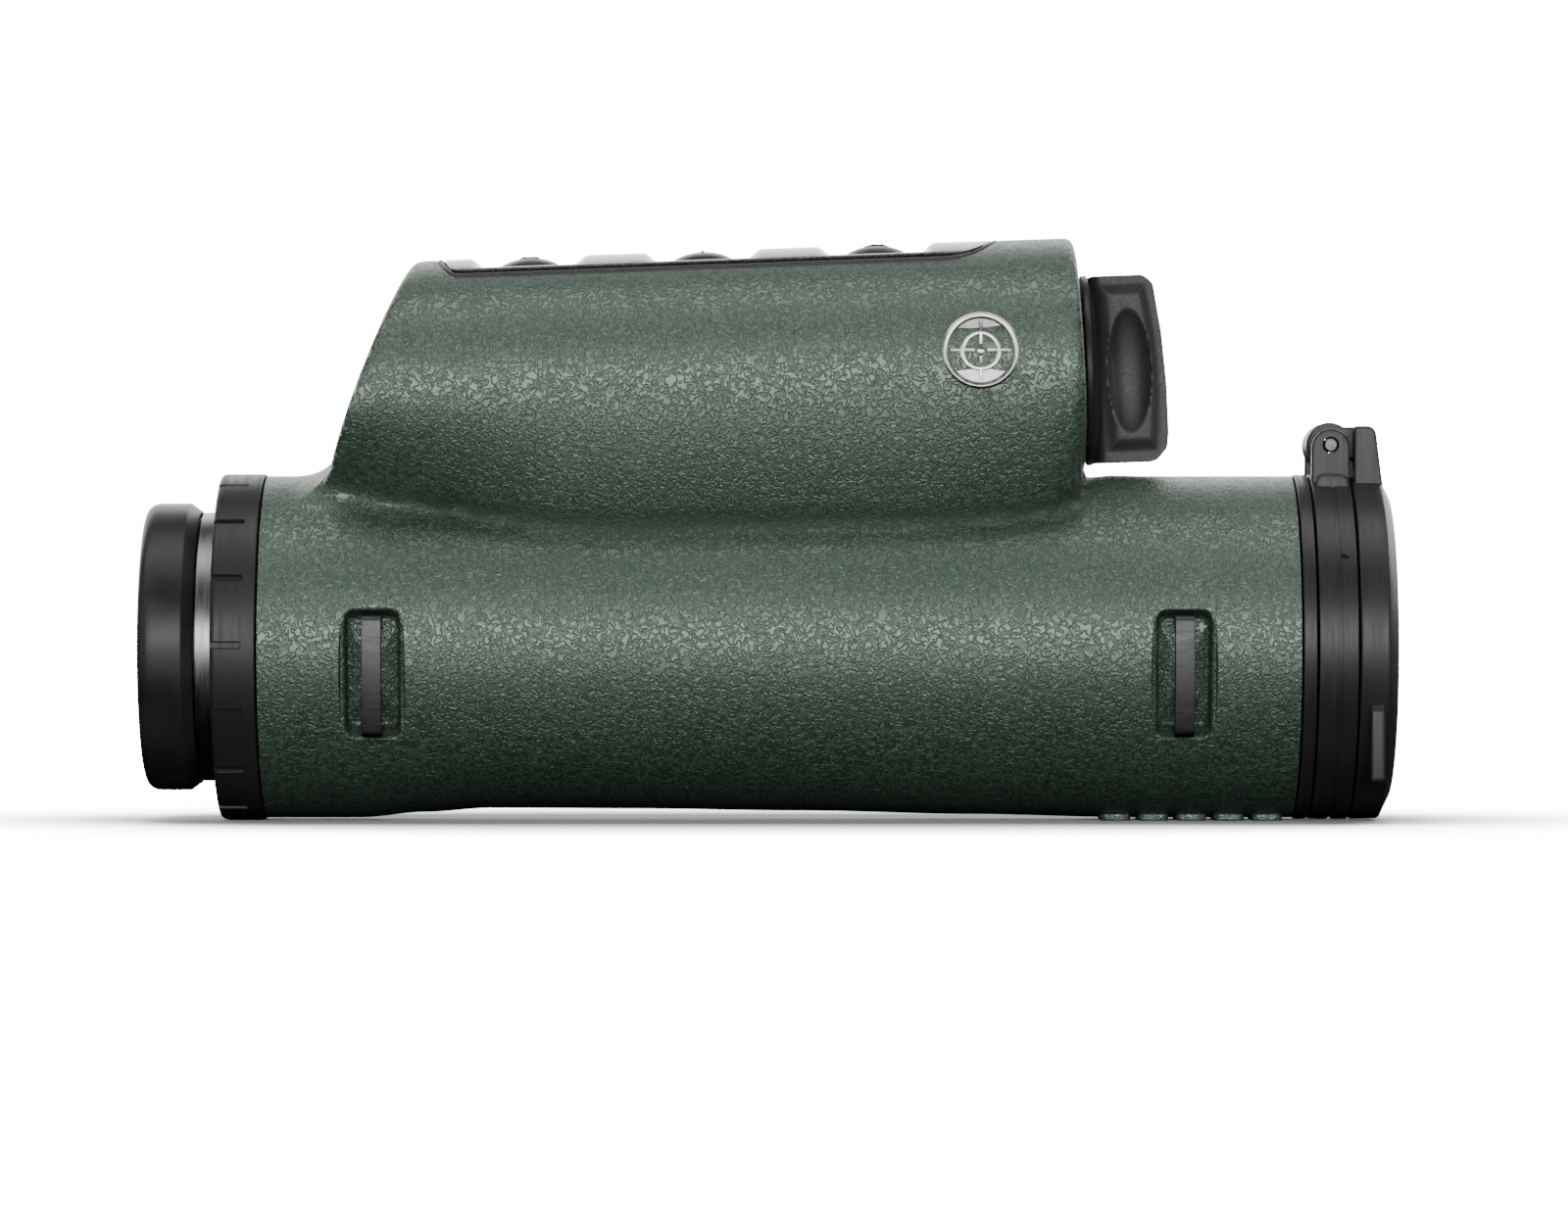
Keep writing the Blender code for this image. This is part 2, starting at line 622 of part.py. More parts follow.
def dimple_tool(y, finish, frame):
    """A tall lens-shaped tool that presses the finger dimple into the grip."""
    rings = []
    half_wide, deep, half_tall = DIMPLE_SIZE
    for k in range(1, 10):
        polar = math.pi * k / 10
        wide, tall = half_wide * math.sin(polar), half_tall * math.sin(polar)
        level = y + deep * math.cos(polar)
        rings.append([(DIMPLE_X + wide * math.cos(a), level, CAP_Z + tall * math.sin(a))
                      for a in (2 * math.pi * j / 20 for j in range(20))])
    return make("dimple", rings, False, finish, (0, 0, CAP_Z), frame)


def coil_spring(frame, finish):
    """The spring that presses the cell forward, wound round the module's own axis."""
    rings = []
    last = SPRING_TURNS * SPRING_STEPS
    for k in range(last + 1):
        angle = 2 * math.pi * k / SPRING_STEPS
        x = SPRING_REAR_X + SPRING_LONG * k / last
        out = Vector((0, math.cos(angle), math.sin(angle)))
        radius = SPRING_R[0] + (SPRING_R[1] - SPRING_R[0]) * k / last
        centre = Vector((x, 0, CAP_Z)) + out * radius
        along = Vector((1, 0, 0))
        rings.append([centre + (out * math.cos(b) + along * math.sin(b)) * SPRING_WIRE
                      for b in (2 * math.pi * j / 5 for j in range(5))])
    make("contact_spring", rings, False, finish, (SPRING_REAR_X, 0, CAP_Z), frame)


def build_electronics(frame, board, dark, glass, metal):
    block("main_board", MAIN_BOARD_LOW, MAIN_BOARD_HIGH, board, frame)
    rod_x("laser_module", *LASER_X, LASER_R, metal, AXIS_Z + MODULE_OFFSET, 20)
    rod_x("receiver_module", *RECEIVER_X, RECEIVER_R, dark, AXIS_Z - MODULE_OFFSET, 20)
    half = SPLITTER_HALF
    low, high = (SPLITTER_X[0], -half, AXIS_Z - half), (SPLITTER_X[1], half, AXIS_Z + half)
    block("beam_splitter", low, high, glass)
    outline = [(x, AXIS_Z + z) for x, z in PRISM]
    slab_y("prism_block", outline, -PRISM_HALF, PRISM_HALF, glass, None, (PRISM_X, 0, AXIS_Z))
    low, high = (corner[:2] + (AXIS_Z + corner[2],) for corner in (DISPLAY_LOW, DISPLAY_HIGH))
    block("display_module", low, high, dark)


def lens(name, x0, x1, bulge, radius, finish):
    """A glass disc with two domed faces."""
    rear = [(x0 - bulge * (1 - f * f), radius * f) for f in LENS_SHARES]
    front = [(x1 + bulge * (1 - f * f), radius * f) for f in reversed(LENS_SHARES)]
    turned_x(name, rear + front, False, finish, AXIS_Z, 24)


def build_eyepiece(glass, barrel_finish, rubber, plastic, ring_finish):
    barrel = [(STEM_REAR_X, EYE_BORE_R), (STEM_REAR_X, STEM_R), (BARREL_STEP_X, STEM_R),
              (BARREL_STEP_X, BARREL_R), (TUBE_REAR_X, BARREL_R), (TUBE_REAR_X, BARREL_INNER_R),
              (BARREL_END_X, BARREL_INNER_R), (BARREL_END_X, EYE_BORE_R)]
    turned_x("eyepiece_barrel", barrel, True, barrel_finish)
    ring_x("eyecup_guide", EYECUP_REAR_X + GUIDE_INSET, EYECUP_FRONT_X, STEM_R + GAP, GUIDE_R, plastic,
           AXIS_Z, 32)
    arc = [(EYECUP_REAR_X + EYECUP_BEND * (1 - math.cos(a)), EYECUP_R - EYECUP_BEND * (1 - math.sin(a)))
           for a in (math.radians(d) for d in (0, 30, 60, 90))]
    inner = GUIDE_R + GAP
    lip = EYECUP_REAR_X + EYECUP_LIP
    cup = arc + [(EYECUP_SLOPE_X, EYECUP_R), (EYECUP_FRONT_X, BARREL_R), (EYECUP_FRONT_X, inner),
                 (lip, inner), (lip, EYECUP_MOUTH_R), (EYECUP_REAR_X, EYECUP_MOUTH_R)]
    turned_x("eyecup", cup, True, rubber)
    lens("eye_lens", *EYE_LENS_X, 0.9, EYE_BORE_R - GAP, glass)
    lens("field_lens", *FIELD_LENS_X, 0.8, EYE_BORE_R - GAP, glass)
    ring_x("eye_lens_retainer", *EYE_RETAINER_X, EYE_RETAINER_R, EYE_BORE_R - GAP, ring_finish, AXIS_Z, 32)
    diopter = [(DIOPTER_REAR_X, DIOPTER_INNER_R)]
    diopter += [(DIOPTER_REAR_X + x, DIOPTER_R - low) for x, low in DIOPTER_RIM]
    diopter += [(DIOPTER_FRONT_X - DIOPTER_EDGE, DIOPTER_R), (DIOPTER_FRONT_X, DIOPTER_R - DIOPTER_EDGE),
                (DIOPTER_FRONT_X, DIOPTER_INNER_R)]
    ring = turned_x("diopter_ring", diopter, True, ring_finish)
    for k in range(NOTCHES):
        combine(ring, notch_tool(math.radians(NOTCH_PHASE + 360 * k / NOTCHES), ring_finish))


def notch_tool(angle, finish):
    out = Vector((0, math.cos(angle), math.sin(angle)))
    side = Vector((0, -math.sin(angle), math.cos(angle))) * NOTCH_WIDTH / 2
    axis = Vector((0, 0, AXIS_Z))
    tip = DIOPTER_REAR_X + NOTCH_LENGTH
    back, flat = NOTCH_TIP
    outline = [(DIOPTER_REAR_X - 1, -1), (DIOPTER_REAR_X - 1, 1), (tip - back, 1), (tip, flat),
               (tip, -flat), (tip - back, -1)]
    rings = [[axis + out * r + side * s + Vector((x, 0, 0)) for x, s in outline]
             for r in (DIOPTER_R - NOTCH_DEPTH, DIOPTER_R + 2)]
    return make("notch", rings, False, finish)


def build_objective(glass, metal):
    ring_x("objective_cell", *OBJECTIVE_CELL_X, LENS_R + GAP, CELL_RING_R, metal, AXIS_Z, 32)
    lens("objective_lens", *OBJECTIVE_LENS_X, 1.6, LENS_R, glass)
    lens("focus_lens", *FOCUS_LENS_X, 1.0, LENS_R, glass)
    ring_x("objective_retainer", *RETAINER_X, RETAINER_R, LENS_R, metal, AXIS_Z, 32)
    ring_x("bezel_ring", *BEZEL_X, MOUTH_R, RING_R, metal)


def ear_outline():
    top = PIN_Z - EAR_DROP
    arc = [(PIN_X + EAR_R * math.cos(a), top + EAR_R * math.sin(a))
           for a in (math.pi * k / 8 for k in range(9))]
    foot = AXIS_Z + EAR_FOOT
    return [(CLAMP_X[0] + EAR_SET_BACK, foot), (CLAMP_X[1], foot)] + arc


def build_clamp(metal, steel):
    ring = ring_x("lid_clamp_ring", *CLAMP_X, MOUTH_R, RING_R, metal)
    for y0, y1 in (EAR_Y, (-EAR_Y[1], -EAR_Y[0])):
        combine(ring, slab_y("ear", ear_outline(), y0, y1, metal), "UNION")
    combine(ring, rod_x("mouth", CLAMP_X[0] - OVERRUN, CLAMP_X[1] + OVERRUN, MOUTH_R, metal))
    combine(ring, rod_y("pin_hole", PIN_HOLE_HALF, PIN_HOLE_R, metal))
    rod_y("hinge_pin", EAR_Y[1] + PIN_LONG, PIN_R, steel)


def build_lid(metal, rubber):
    shell = [(LID_FLOOR_X, LID_CAVITY_R - GAP), (LID_REAR_X, LID_CAVITY_R), (LID_REAR_X, RING_R - LID_EDGE),
             (LID_REAR_X + LID_EDGE, RING_R)]
    shell += [(x, RING_R - low) for x, low in LID_RIM]
    shell += [(LID_FRONT_X - LID_FACE_BEVEL[0], LID_FLAT_R + LID_FACE_BEVEL[1]), (LID_FRONT_X, LID_FLAT_R)]
    lid = turned_x("lens_lid", shell, False, metal, AXIS_Z, SIDES, None, (PIN_X, 0, PIN_Z))
    tower = [(x, AXIS_Z + z) for x, z in TOWER]
    combine(lid, slab_y("tower", tower, -TOWER_HALF, TOWER_HALF, metal), "UNION")
    arm = [(PIN_X, PIN_Z - ARM_LOW), (ARM_END_X, PIN_Z - ARM_LOW), (ARM_END_X, ARM_TOP),
           (PIN_X + 1, ARM_TOP), (PIN_X, PIN_Z + 2)]
    combine(lid, slab_y("arm", arm, -KNUCKLE_HALF, KNUCKLE_HALF, metal), "UNION")
    combine(lid, rod_y("knuckle", KNUCKLE_HALF, KNUCKLE_R, metal), "UNION")
    combine(lid, rod_y("pin_hole", PIN_HOLE_HALF, PIN_HOLE_R, metal))
    for side in (-1, 1):
        combine(lid, grip_tab(side, metal), "UNION")
    combine(lid, rod_x("cavity", LID_REAR_X - OVERRUN, LID_FLOOR_X, LID_CAVITY_R, metal))
    rear, front = (LID_REAR_X + step for step in SEAL_X)
    ring_x("lid_seal", rear, front, LID_CAVITY_R - LID_SEAL_WIDE, LID_CAVITY_R - LID_SEAL_GAP, rubber,
           AXIS_Z, 32, None, (PIN_X, 0, PIN_Z))


def grip_tab(side, finish):
    """A finger tab low on the lid's side, with a sloped upper end."""
    points = [(side * y, AXIS_Z + z) for y, z in TAB]
    return slab_x("tab", points, *TAB_X, finish)


def build_all():
    clear_scene()
    rubber = material("green_rubber", (0.085, 0.14, 0.1), 0.6)
    black_rubber = material("black_rubber", (0.02, 0.02, 0.02), 0.6)
    plastic = material("black_plastic", (0.025, 0.025, 0.026), 0.45)
    dark_metal = material("dark_metal", (0.04, 0.04, 0.042), 0.4, 0.6)
    chassis = material("cast_chassis", (0.3, 0.3, 0.31), 0.5, 0.9)
    silver = material("silver", (0.5, 0.5, 0.5), 0.35, 1.0)
    gunmetal = material("gunmetal", (0.2, 0.2, 0.21), 0.35, 1.0)
    brass = material("brass", (0.7, 0.5, 0.2), 0.3, 1.0)
    glass = material("glass", (0.6, 0.7, 0.75), 0.05)
    board = material("circuit_board", (0.02, 0.15, 0.06), 0.5)
    sleeve = material("sleeve", (0.05, 0.05, 0.05), 0.5)
    cell = material("cell_wrap", (0.05, 0.12, 0.3), 0.4)
    frame = bpy.data.objects.new("upper_module_frame", None)
    bpy.context.collection.objects.link(frame)
    frame.location = (0, 0, MODULE_TOP * MM)
    frame.rotation_euler = (0, -TILT, 0)
    frame.empty_display_size = 0.01
    bpy.context.view_layer.update()
    build_armour(frame, rubber)
    build_housing(frame, chassis)
    build_panel(frame, plastic, black_rubber)
    build_buttons(frame, black_rubber, board, gunmetal)
    build_battery(frame, plastic, black_rubber, dark_metal, brass, sleeve, cell)
    build_electronics(frame, board, plastic, glass, dark_metal)
    build_eyepiece(glass, silver, black_rubber, plastic, dark_metal)
    build_objective(glass, dark_metal)
    build_clamp(dark_metal, silver)
    build_lid(dark_metal, black_rubber)
    badge_disc("side_badge", BADGE_R, -BADGE_THICK + BADGE_SEAT, BADGE_OUT, silver)
    for x, place in zip(LUG_X, ("rear", "front")):
        for side, hand in ((-1, "near"), (1, "far")):
            lug("strap_lug_%s_%s" % (place, hand), side, x, 0, gunmetal)


build_all()
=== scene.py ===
"""The looks of a handheld rangefinder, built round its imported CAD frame.

Shapes are worked out in millimetres and scaled to metres when a mesh is made.
+X points to the objective, -Y is the side with the badge, +Z is up.
"""

import json
import math

import bmesh
import bpy
import numpy as np
from mathutils import Matrix, Vector


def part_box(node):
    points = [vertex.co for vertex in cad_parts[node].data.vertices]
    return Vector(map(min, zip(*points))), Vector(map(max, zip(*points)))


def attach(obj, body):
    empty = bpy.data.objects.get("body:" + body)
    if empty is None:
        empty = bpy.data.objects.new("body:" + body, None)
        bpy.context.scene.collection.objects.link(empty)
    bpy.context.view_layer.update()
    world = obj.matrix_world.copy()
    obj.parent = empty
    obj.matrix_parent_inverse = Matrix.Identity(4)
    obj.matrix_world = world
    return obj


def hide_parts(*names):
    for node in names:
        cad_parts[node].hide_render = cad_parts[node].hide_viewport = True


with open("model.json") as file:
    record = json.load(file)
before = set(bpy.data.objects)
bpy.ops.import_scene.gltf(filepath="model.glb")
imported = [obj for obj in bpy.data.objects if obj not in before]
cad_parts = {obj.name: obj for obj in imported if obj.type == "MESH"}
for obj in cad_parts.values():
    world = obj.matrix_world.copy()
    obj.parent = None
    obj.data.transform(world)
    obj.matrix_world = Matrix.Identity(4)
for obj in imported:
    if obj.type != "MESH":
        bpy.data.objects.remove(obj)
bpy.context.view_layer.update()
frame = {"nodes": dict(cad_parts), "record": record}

MM = 0.001
AXIS_Z = 25.2
TUBE_R = 25.0
TILT = math.radians(2.04)
MODULE_TOP = 83.17
LOBE_Z = 63.2
LOBE_HALF = 23.6
LOBE_RISE = MODULE_TOP - LOBE_Z
LOBE_POWER = 2.2
CAP_Z = 63.8
BODY = "body"
TURNS = 144


def edge(node, axis, high):
    """One side of a CAD node's box, in millimetres."""
    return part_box(node)[1 if high else 0][axis] / MM


TUBE_REAR = edge("armour", 0, False)
TUBE_FRONT = edge("armour", 0, True)


# -------- mesh tools

def smooth(obj, angle=32):
    """Shade smoothly, with edges steeper than the angle kept sharp."""
    obj.data.shade_smooth()
    obj.data.set_sharp_from_angle(angle=math.radians(angle))
    return obj


def from_data(name, verts, faces, angle=32):
    """A mesh object from points in millimetres, with its faces turned outwards."""
    mesh = bpy.data.meshes.new(name)
    mesh.from_pydata([tuple(c * MM for c in v) for v in verts], [], faces)
    work = bmesh.new()
    work.from_mesh(mesh)
    bmesh.ops.remove_doubles(work, verts=work.verts, dist=1e-7)
    bmesh.ops.recalc_face_normals(work, faces=work.faces)
    work.to_mesh(mesh)
    work.free()
    obj = bpy.data.objects.new(name, mesh)
    bpy.context.collection.objects.link(obj)
    return smooth(obj, angle)


def skin(name, rings, closed=False, angle=32, caps=True):
    """Quads between rings of points; caps close an open run of rings."""
    count, total = len(rings[0]), len(rings)
    verts = [p for ring in rings for p in ring]
    faces = []
    for i in range(total if closed else total - 1):
        j = (i + 1) % total
        for k in range(count):
            n = (k + 1) % count
            faces.append((i * count + k, i * count + n, j * count + n, j * count + k))
    if not closed and caps:
        faces.append(tuple(range(count)))
        faces.append(tuple(range((total - 1) * count, total * count)))
    return from_data(name, verts, faces, angle)


def turned(name, profile, closed=True, z=AXIS_Z, count=TURNS, tilted=False, angle=32):
    """Turn (x, radius) points round a line along X."""
    turns = [2 * math.pi * (k + 0.5) / count for k in range(count)]
    rings = [[(x, r * math.cos(a), z + r * math.sin(a)) for a in turns] for x, r in profile]
    return lean(skin(name, rings, closed, angle), tilted)


def lean(obj, tilted=True):
    """Lean a piece back with the upper module, round the top of the module."""
    if tilted:
        pivot = Matrix.Translation((0, 0, MODULE_TOP * MM))
        obj.data.transform(pivot @ Matrix.Rotation(-TILT, 4, "Y") @ pivot.inverted())
    return obj


def rounded(points, radius, steps=4):
    """Round the corners of a closed outline; radius may differ from corner to corner."""
    out = []
    for i, point in enumerate(points):
        here = Vector(point)
        before, after = Vector(points[i - 1]), Vector(points[(i + 1) % len(points)])
        size = radius[i] if isinstance(radius, (list, tuple)) else radius
        to_before, to_after = before - here, after - here
        if size <= 0:
            out.append(tuple(here))
            continue
        turn = to_before.angle(to_after)
        cut = min(size / math.tan(turn / 2), to_before.length * 0.49, to_after.length * 0.49)
        start, end = here + to_before.normalized() * cut, here + to_after.normalized() * cut
        for k in range(steps + 1):
            t = k / steps
            out.append(tuple(start * (1 - t) ** 2 + here * 2 * t * (1 - t) + end * t ** 2))
    return out


def slab(name, outline, axis, low, high, bevel=0.3, tilted=False, steps=3):
    """Push an outline along X, Y or Z, with rounded rims."""
    def at(level, point):
        a, b = point
        return {"x": (level, a, b), "y": (a, level, b), "z": (a, b, level)}[axis]

    rings = [[at(level, p) for p in outline] for level in (low, high)]
    obj = skin(name, rings)
    if bevel:
        add_bevel(obj, bevel, steps)
    return lean(obj, tilted)


def apply(obj):
    """Turn an object's modifiers into plain mesh."""
    bpy.context.view_layer.update()
    graph = bpy.context.evaluated_depsgraph_get()
    result = bpy.data.meshes.new_from_object(obj.evaluated_get(graph))
    obj.modifiers.clear()
    obj.data = result
    return obj


def add_bevel(obj, width, steps=3, angle=40):
    """Round every edge that is steeper than the angle."""
    step = obj.modifiers.new("bevel", "BEVEL")
    step.width = width * MM
    step.segments = steps
    step.limit_method = "ANGLE"
    step.angle_limit = math.radians(angle)
    return smooth(apply(obj))


def combine(target, tool, operation="DIFFERENCE"):
    """Cut a tool out of a piece, or join it on, and discard the tool."""
    step = target.modifiers.new("combine", "BOOLEAN")
    step.operation = operation
    step.solver = "EXACT"
    step.object = tool
    apply(target)
    bpy.data.objects.remove(tool, do_unlink=True)
    return smooth(target)


def blend_table(table, at):
    """Read soft steps between (place, value) pairs, for an array of places."""
    places = np.array([p for p, _ in table], float)
    values = np.array([v for _, v in table], float)
    at = np.clip(at, places[0], places[-1])
    i = np.clip(np.searchsorted(places, at) - 1, 0, len(places) - 2)
    part = (at - places[i]) / (places[i + 1] - places[i])
    part = part * part * (3 - 2 * part)
    return values[i] + (values[i + 1] - values[i]) * part


def smooth_min(a, b, k):
    """The smaller of two distances, blended where they differ by less than k."""
    h = np.maximum(k - np.abs(a - b), 0) / k
    return np.minimum(a, b) - h * h * k / 4


def smooth_max(a, b, k):
    return -smooth_min(-a, -b, k)


# -------- the armour's surface

GRIP_CREASE = -15.3
GRIP_EDGE = 0.5
GRIP_LIFTS = [(-60, 0.0), (-50, 0.9), (-40, 1.5), (-20, 1.4), (5, 1.1), (30, 0.6), (56, 0.0)]
REAR_TOP_X, REAR_TOP_Z, REAR_SLOPE = -51.77, 82.04, 0.4127
FRONT_TOP_X, FRONT_SLOPE = 44.45, 0.016
DROP_REAR = [(0.0, 15), (1.7, 15.5), (10.6, 19.5), (18.7, 22.5), (26.7, 27), (35.6, 32.5), (45, 34)]
DROP_FRONT = [(0.0, 14), (0.4, 16), (1.2, 20), (2.6, 24), (6.0, 28), (14.0, 31), (26.0, 34)]
REAR_BULGE, REAR_BULGE_Z, REAR_BULGE_HALF = 0.5, 66.0, 16.0
REAR_EDGE, FRONT_EDGE = 1.2, 1.6
CREASE_SOFTNESS, CREASE_REAR_EXTRA = 3.0, 2.5
CREASE_DEPTH, CREASE_WIDTH = 0.65, 2.0
# Reach of the painted shade along the crease: its width on the tube's side and its edge on the upper body's
# side.
CREASE_SHADE_WIDTH, CREASE_SHADE_EDGE = 2.6, 0.6
CREASE_START, CREASE_RUN_IN = -62.0, 16.0
RUBBER = 2.0
VOXEL = 0.95
COARSE_TURNS = 96
CAP_HOLE_R = 11.8
SETTLE_PROBE, SETTLE_LEAST_SLOPE = 0.02, 0.05


def upper_section(y, w, drop):
    """Rough distance to the upper body's section, out from its skin."""
    power = np.where(w > LOBE_Z, LOBE_POWER, 2.0)
    tall = np.where(w > LOBE_Z, LOBE_RISE, drop)
    a = np.abs(y) / LOBE_HALF + 1e-9
    b = np.abs(w - LOBE_Z) / tall + 1e-9
    size = (a ** power + b ** power) ** (1 / power)
    slope = size ** (1 - power) * np.hypot(a ** (power - 1) / LOBE_HALF, b ** (power - 1) / tall)
    return (size - 1) / np.maximum(slope, 1e-3)


def armour_parts(points):
    """Distances to the tube's skin and to the upper body's skin, in millimetres."""
    x, y, z = points[:, 0], points[:, 1], points[:, 2] - AXIS_Z
    lift = blend_table(GRIP_LIFTS, x)
    half = math.sqrt(TUBE_R ** 2 - GRIP_CREASE ** 2)
    sag = TUBE_R - lift + GRIP_CREASE
    wide = (half ** 2 + sag ** 2) / (2 * sag)
    grip = np.hypot(y, z - (lift - TUBE_R + wide)) - wide
    tube = smooth_max(np.hypot(y, z) - TUBE_R, grip, GRIP_EDGE)
    up = points[:, 2] - MODULE_TOP
    u = x * math.cos(TILT) + up * math.sin(TILT)
    w = MODULE_TOP - x * math.sin(TILT) + up * math.cos(TILT)
    bulge = REAR_BULGE * (1 - ((w - REAR_BULGE_Z) / REAR_BULGE_HALF) ** 2)
    rear = u - (REAR_TOP_X - REAR_SLOPE * (REAR_TOP_Z - w)) + bulge
    front = FRONT_TOP_X + FRONT_SLOPE * (MODULE_TOP - w) - u
    drop = np.minimum(blend_table(DROP_REAR, rear), blend_table(DROP_FRONT, front))
    upper = upper_section(y, w, drop)
    upper = smooth_max(upper, -rear / math.hypot(1, REAR_SLOPE), REAR_EDGE)
    upper = smooth_max(upper, -front, FRONT_EDGE)
    return tube, upper


def armour_field(points):
    """Distance to the armour's skin, with the deep soft crease between its two parts."""
    tube, upper = armour_parts(points)
    sharp = np.clip((points[:, 0] - CREASE_START) / CREASE_RUN_IN, 0, 1)
    valley = CREASE_DEPTH * sharp * np.exp(-(tube ** 2 + upper ** 2) / CREASE_WIDTH ** 2)
    return smooth_min(tube, upper, CREASE_SOFTNESS + CREASE_REAR_EXTRA * (1 - sharp)) + valley


def paint_crease_shade(obj):
    """Record on each vertex how deep it lies in the crease, as painted shade that darkens the rubber along
    it.
    """
    mesh = obj.data
    flat = np.empty(len(mesh.vertices) * 3)
    mesh.vertices.foreach_get("co", flat)
    tube, upper = armour_parts(flat.reshape(-1, 3) / MM)
    under = np.exp(-(np.maximum(tube, 0) / CREASE_SHADE_WIDTH) ** 2)
    depth = under * np.exp(-(np.maximum(upper, 0) / CREASE_SHADE_EDGE) ** 2)
    values = mesh.attributes.new("crease", "FLOAT", "POINT").data
    values.foreach_set("value", depth.astype(np.float32))


def settle(obj, field, rounds=6, reach=1.2):
    """Move every vertex on to the surface where a distance field is zero."""
    mesh = obj.data
    count = len(mesh.vertices)
    flat = np.empty(count * 3)
    mesh.vertices.foreach_get("co", flat)
    points = flat.reshape(-1, 3) / MM
    probes = [SETTLE_PROBE * d for d in np.eye(3)]
    for _ in range(rounds):
        value = field(points)
        slopes = [(field(points + d) - field(points - d)) / (2 * SETTLE_PROBE) for d in probes]
        slope = np.stack(slopes, axis=1)
        length = np.maximum((slope ** 2).sum(axis=1), SETTLE_LEAST_SLOPE)
        move = slope * (value / length)[:, None]
        size = np.maximum(np.linalg.norm(move, axis=1), 1e-9)
        points -= move * np.minimum(1, reach / size)[:, None]
    mesh.vertices.foreach_set("co", (points * MM).ravel())
    mesh.update()
    return obj


def even_shading(obj):
    """Let large faces decide the shading, so that slivers beside a cut don't show."""
    step = obj.modifiers.new("even", "WEIGHTED_NORMAL")
    step.keep_sharp = True
    step.weight = 60
    return apply(obj)


def remesh(obj, size):
    """Rebuild a closed piece as an even grid of small faces."""
    step = obj.modifiers.new("remesh", "REMESH")
    step.mode = "VOXEL"
    step.voxel_size = size * MM
    step.use_smooth_shade = True
    return apply(obj)


def upper_blank(name, inset, count=40):
    """The upper body as a plain loft; the inset gives the inside of the rubber."""
    rings = []
    stations = [("rear", a, d) for a, d in DROP_REAR[:1] + DROP_REAR[2:]]
    stations += [("front", a, d) for a, d in DROP_FRONT[:2:-1] + DROP_FRONT[:1]]
    for end, away, drop in stations:
        half, rise, fall = LOBE_HALF - inset, LOBE_RISE - inset, drop - inset
        ring = []
        for k in range(count):
            angle = 2 * math.pi * (k + 0.5) / count
            c, s = math.cos(angle), math.sin(angle)
            power = 2 / LOBE_POWER if s > 0 else 1.0
            y = half * math.copysign(abs(c) ** power, c)
            w = LOBE_Z + (rise if s > 0 else fall) * math.copysign(abs(s) ** power, s)
            rear = REAR_TOP_X - REAR_SLOPE * (REAR_TOP_Z - w) + inset * math.hypot(1, REAR_SLOPE)
            front = FRONT_TOP_X + FRONT_SLOPE * (MODULE_TOP - w) - inset
            ring.append((rear + away if end == "rear" else front - away, y, w))
        rings.append(ring)
    return lean(skin(name, rings))


PANEL_HALF, PANEL_FRONT, PANEL_REAR = 14.2, 24.9, -44.0
PANEL_BOWS = (9.0, 4.2)


def panel_half(u, inset):
    """Half the panel's width at a place along it, with bowed ends."""
    front, rear = PANEL_BOWS[0] - inset, PANEL_BOWS[1] - inset
    s = max((u - PANEL_FRONT) / front, (PANEL_REAR - u) / rear, 0.0)
    return (PANEL_HALF - inset) * max(1 - s ** LOBE_POWER, 0.0) ** (1 / LOBE_POWER)


def panel_outline(inset, steps=28):
    """The panel's plan shape as a closed outline of (x, y) points."""
    front, rear = PANEL_BOWS[0] - inset, PANEL_BOWS[1] - inset
    half = PANEL_HALF - inset
    power = 2 / LOBE_POWER
    outline = []
    for end, reach, turn in ((PANEL_FRONT, front, 1), (PANEL_REAR, -rear, -1)):
        for k in range(steps + 1):
            angle = math.pi / 2 - math.pi * k / steps
            s, c = math.sin(angle), abs(math.cos(angle))
            outline.append((end + reach * c ** power, turn * half * math.copysign(abs(s) ** power, s)))
    return outline


LUG_X = (-56.3, 59.5)
LUG_SPAN = (-12.75, 4.55)
POCKET_HALF, POCKET_MARGIN, POCKET_FLOOR = 3.9, 0.85, 21.4
POCKET_FLARE, POCKET_WALL, POCKET_CORNER = 0.6, 0.8, 1.6
POCKET_FLOOR_FILLET = [(0.0, -0.7), (0.2, -0.3), (0.7, 0.0)]
POCKET_FLOOR_SHARES = (0.1, 0.4, 0.7)
LUG_OUT, LUG_BAR, LUG_BOW = 26.18, 1.6, 84.0


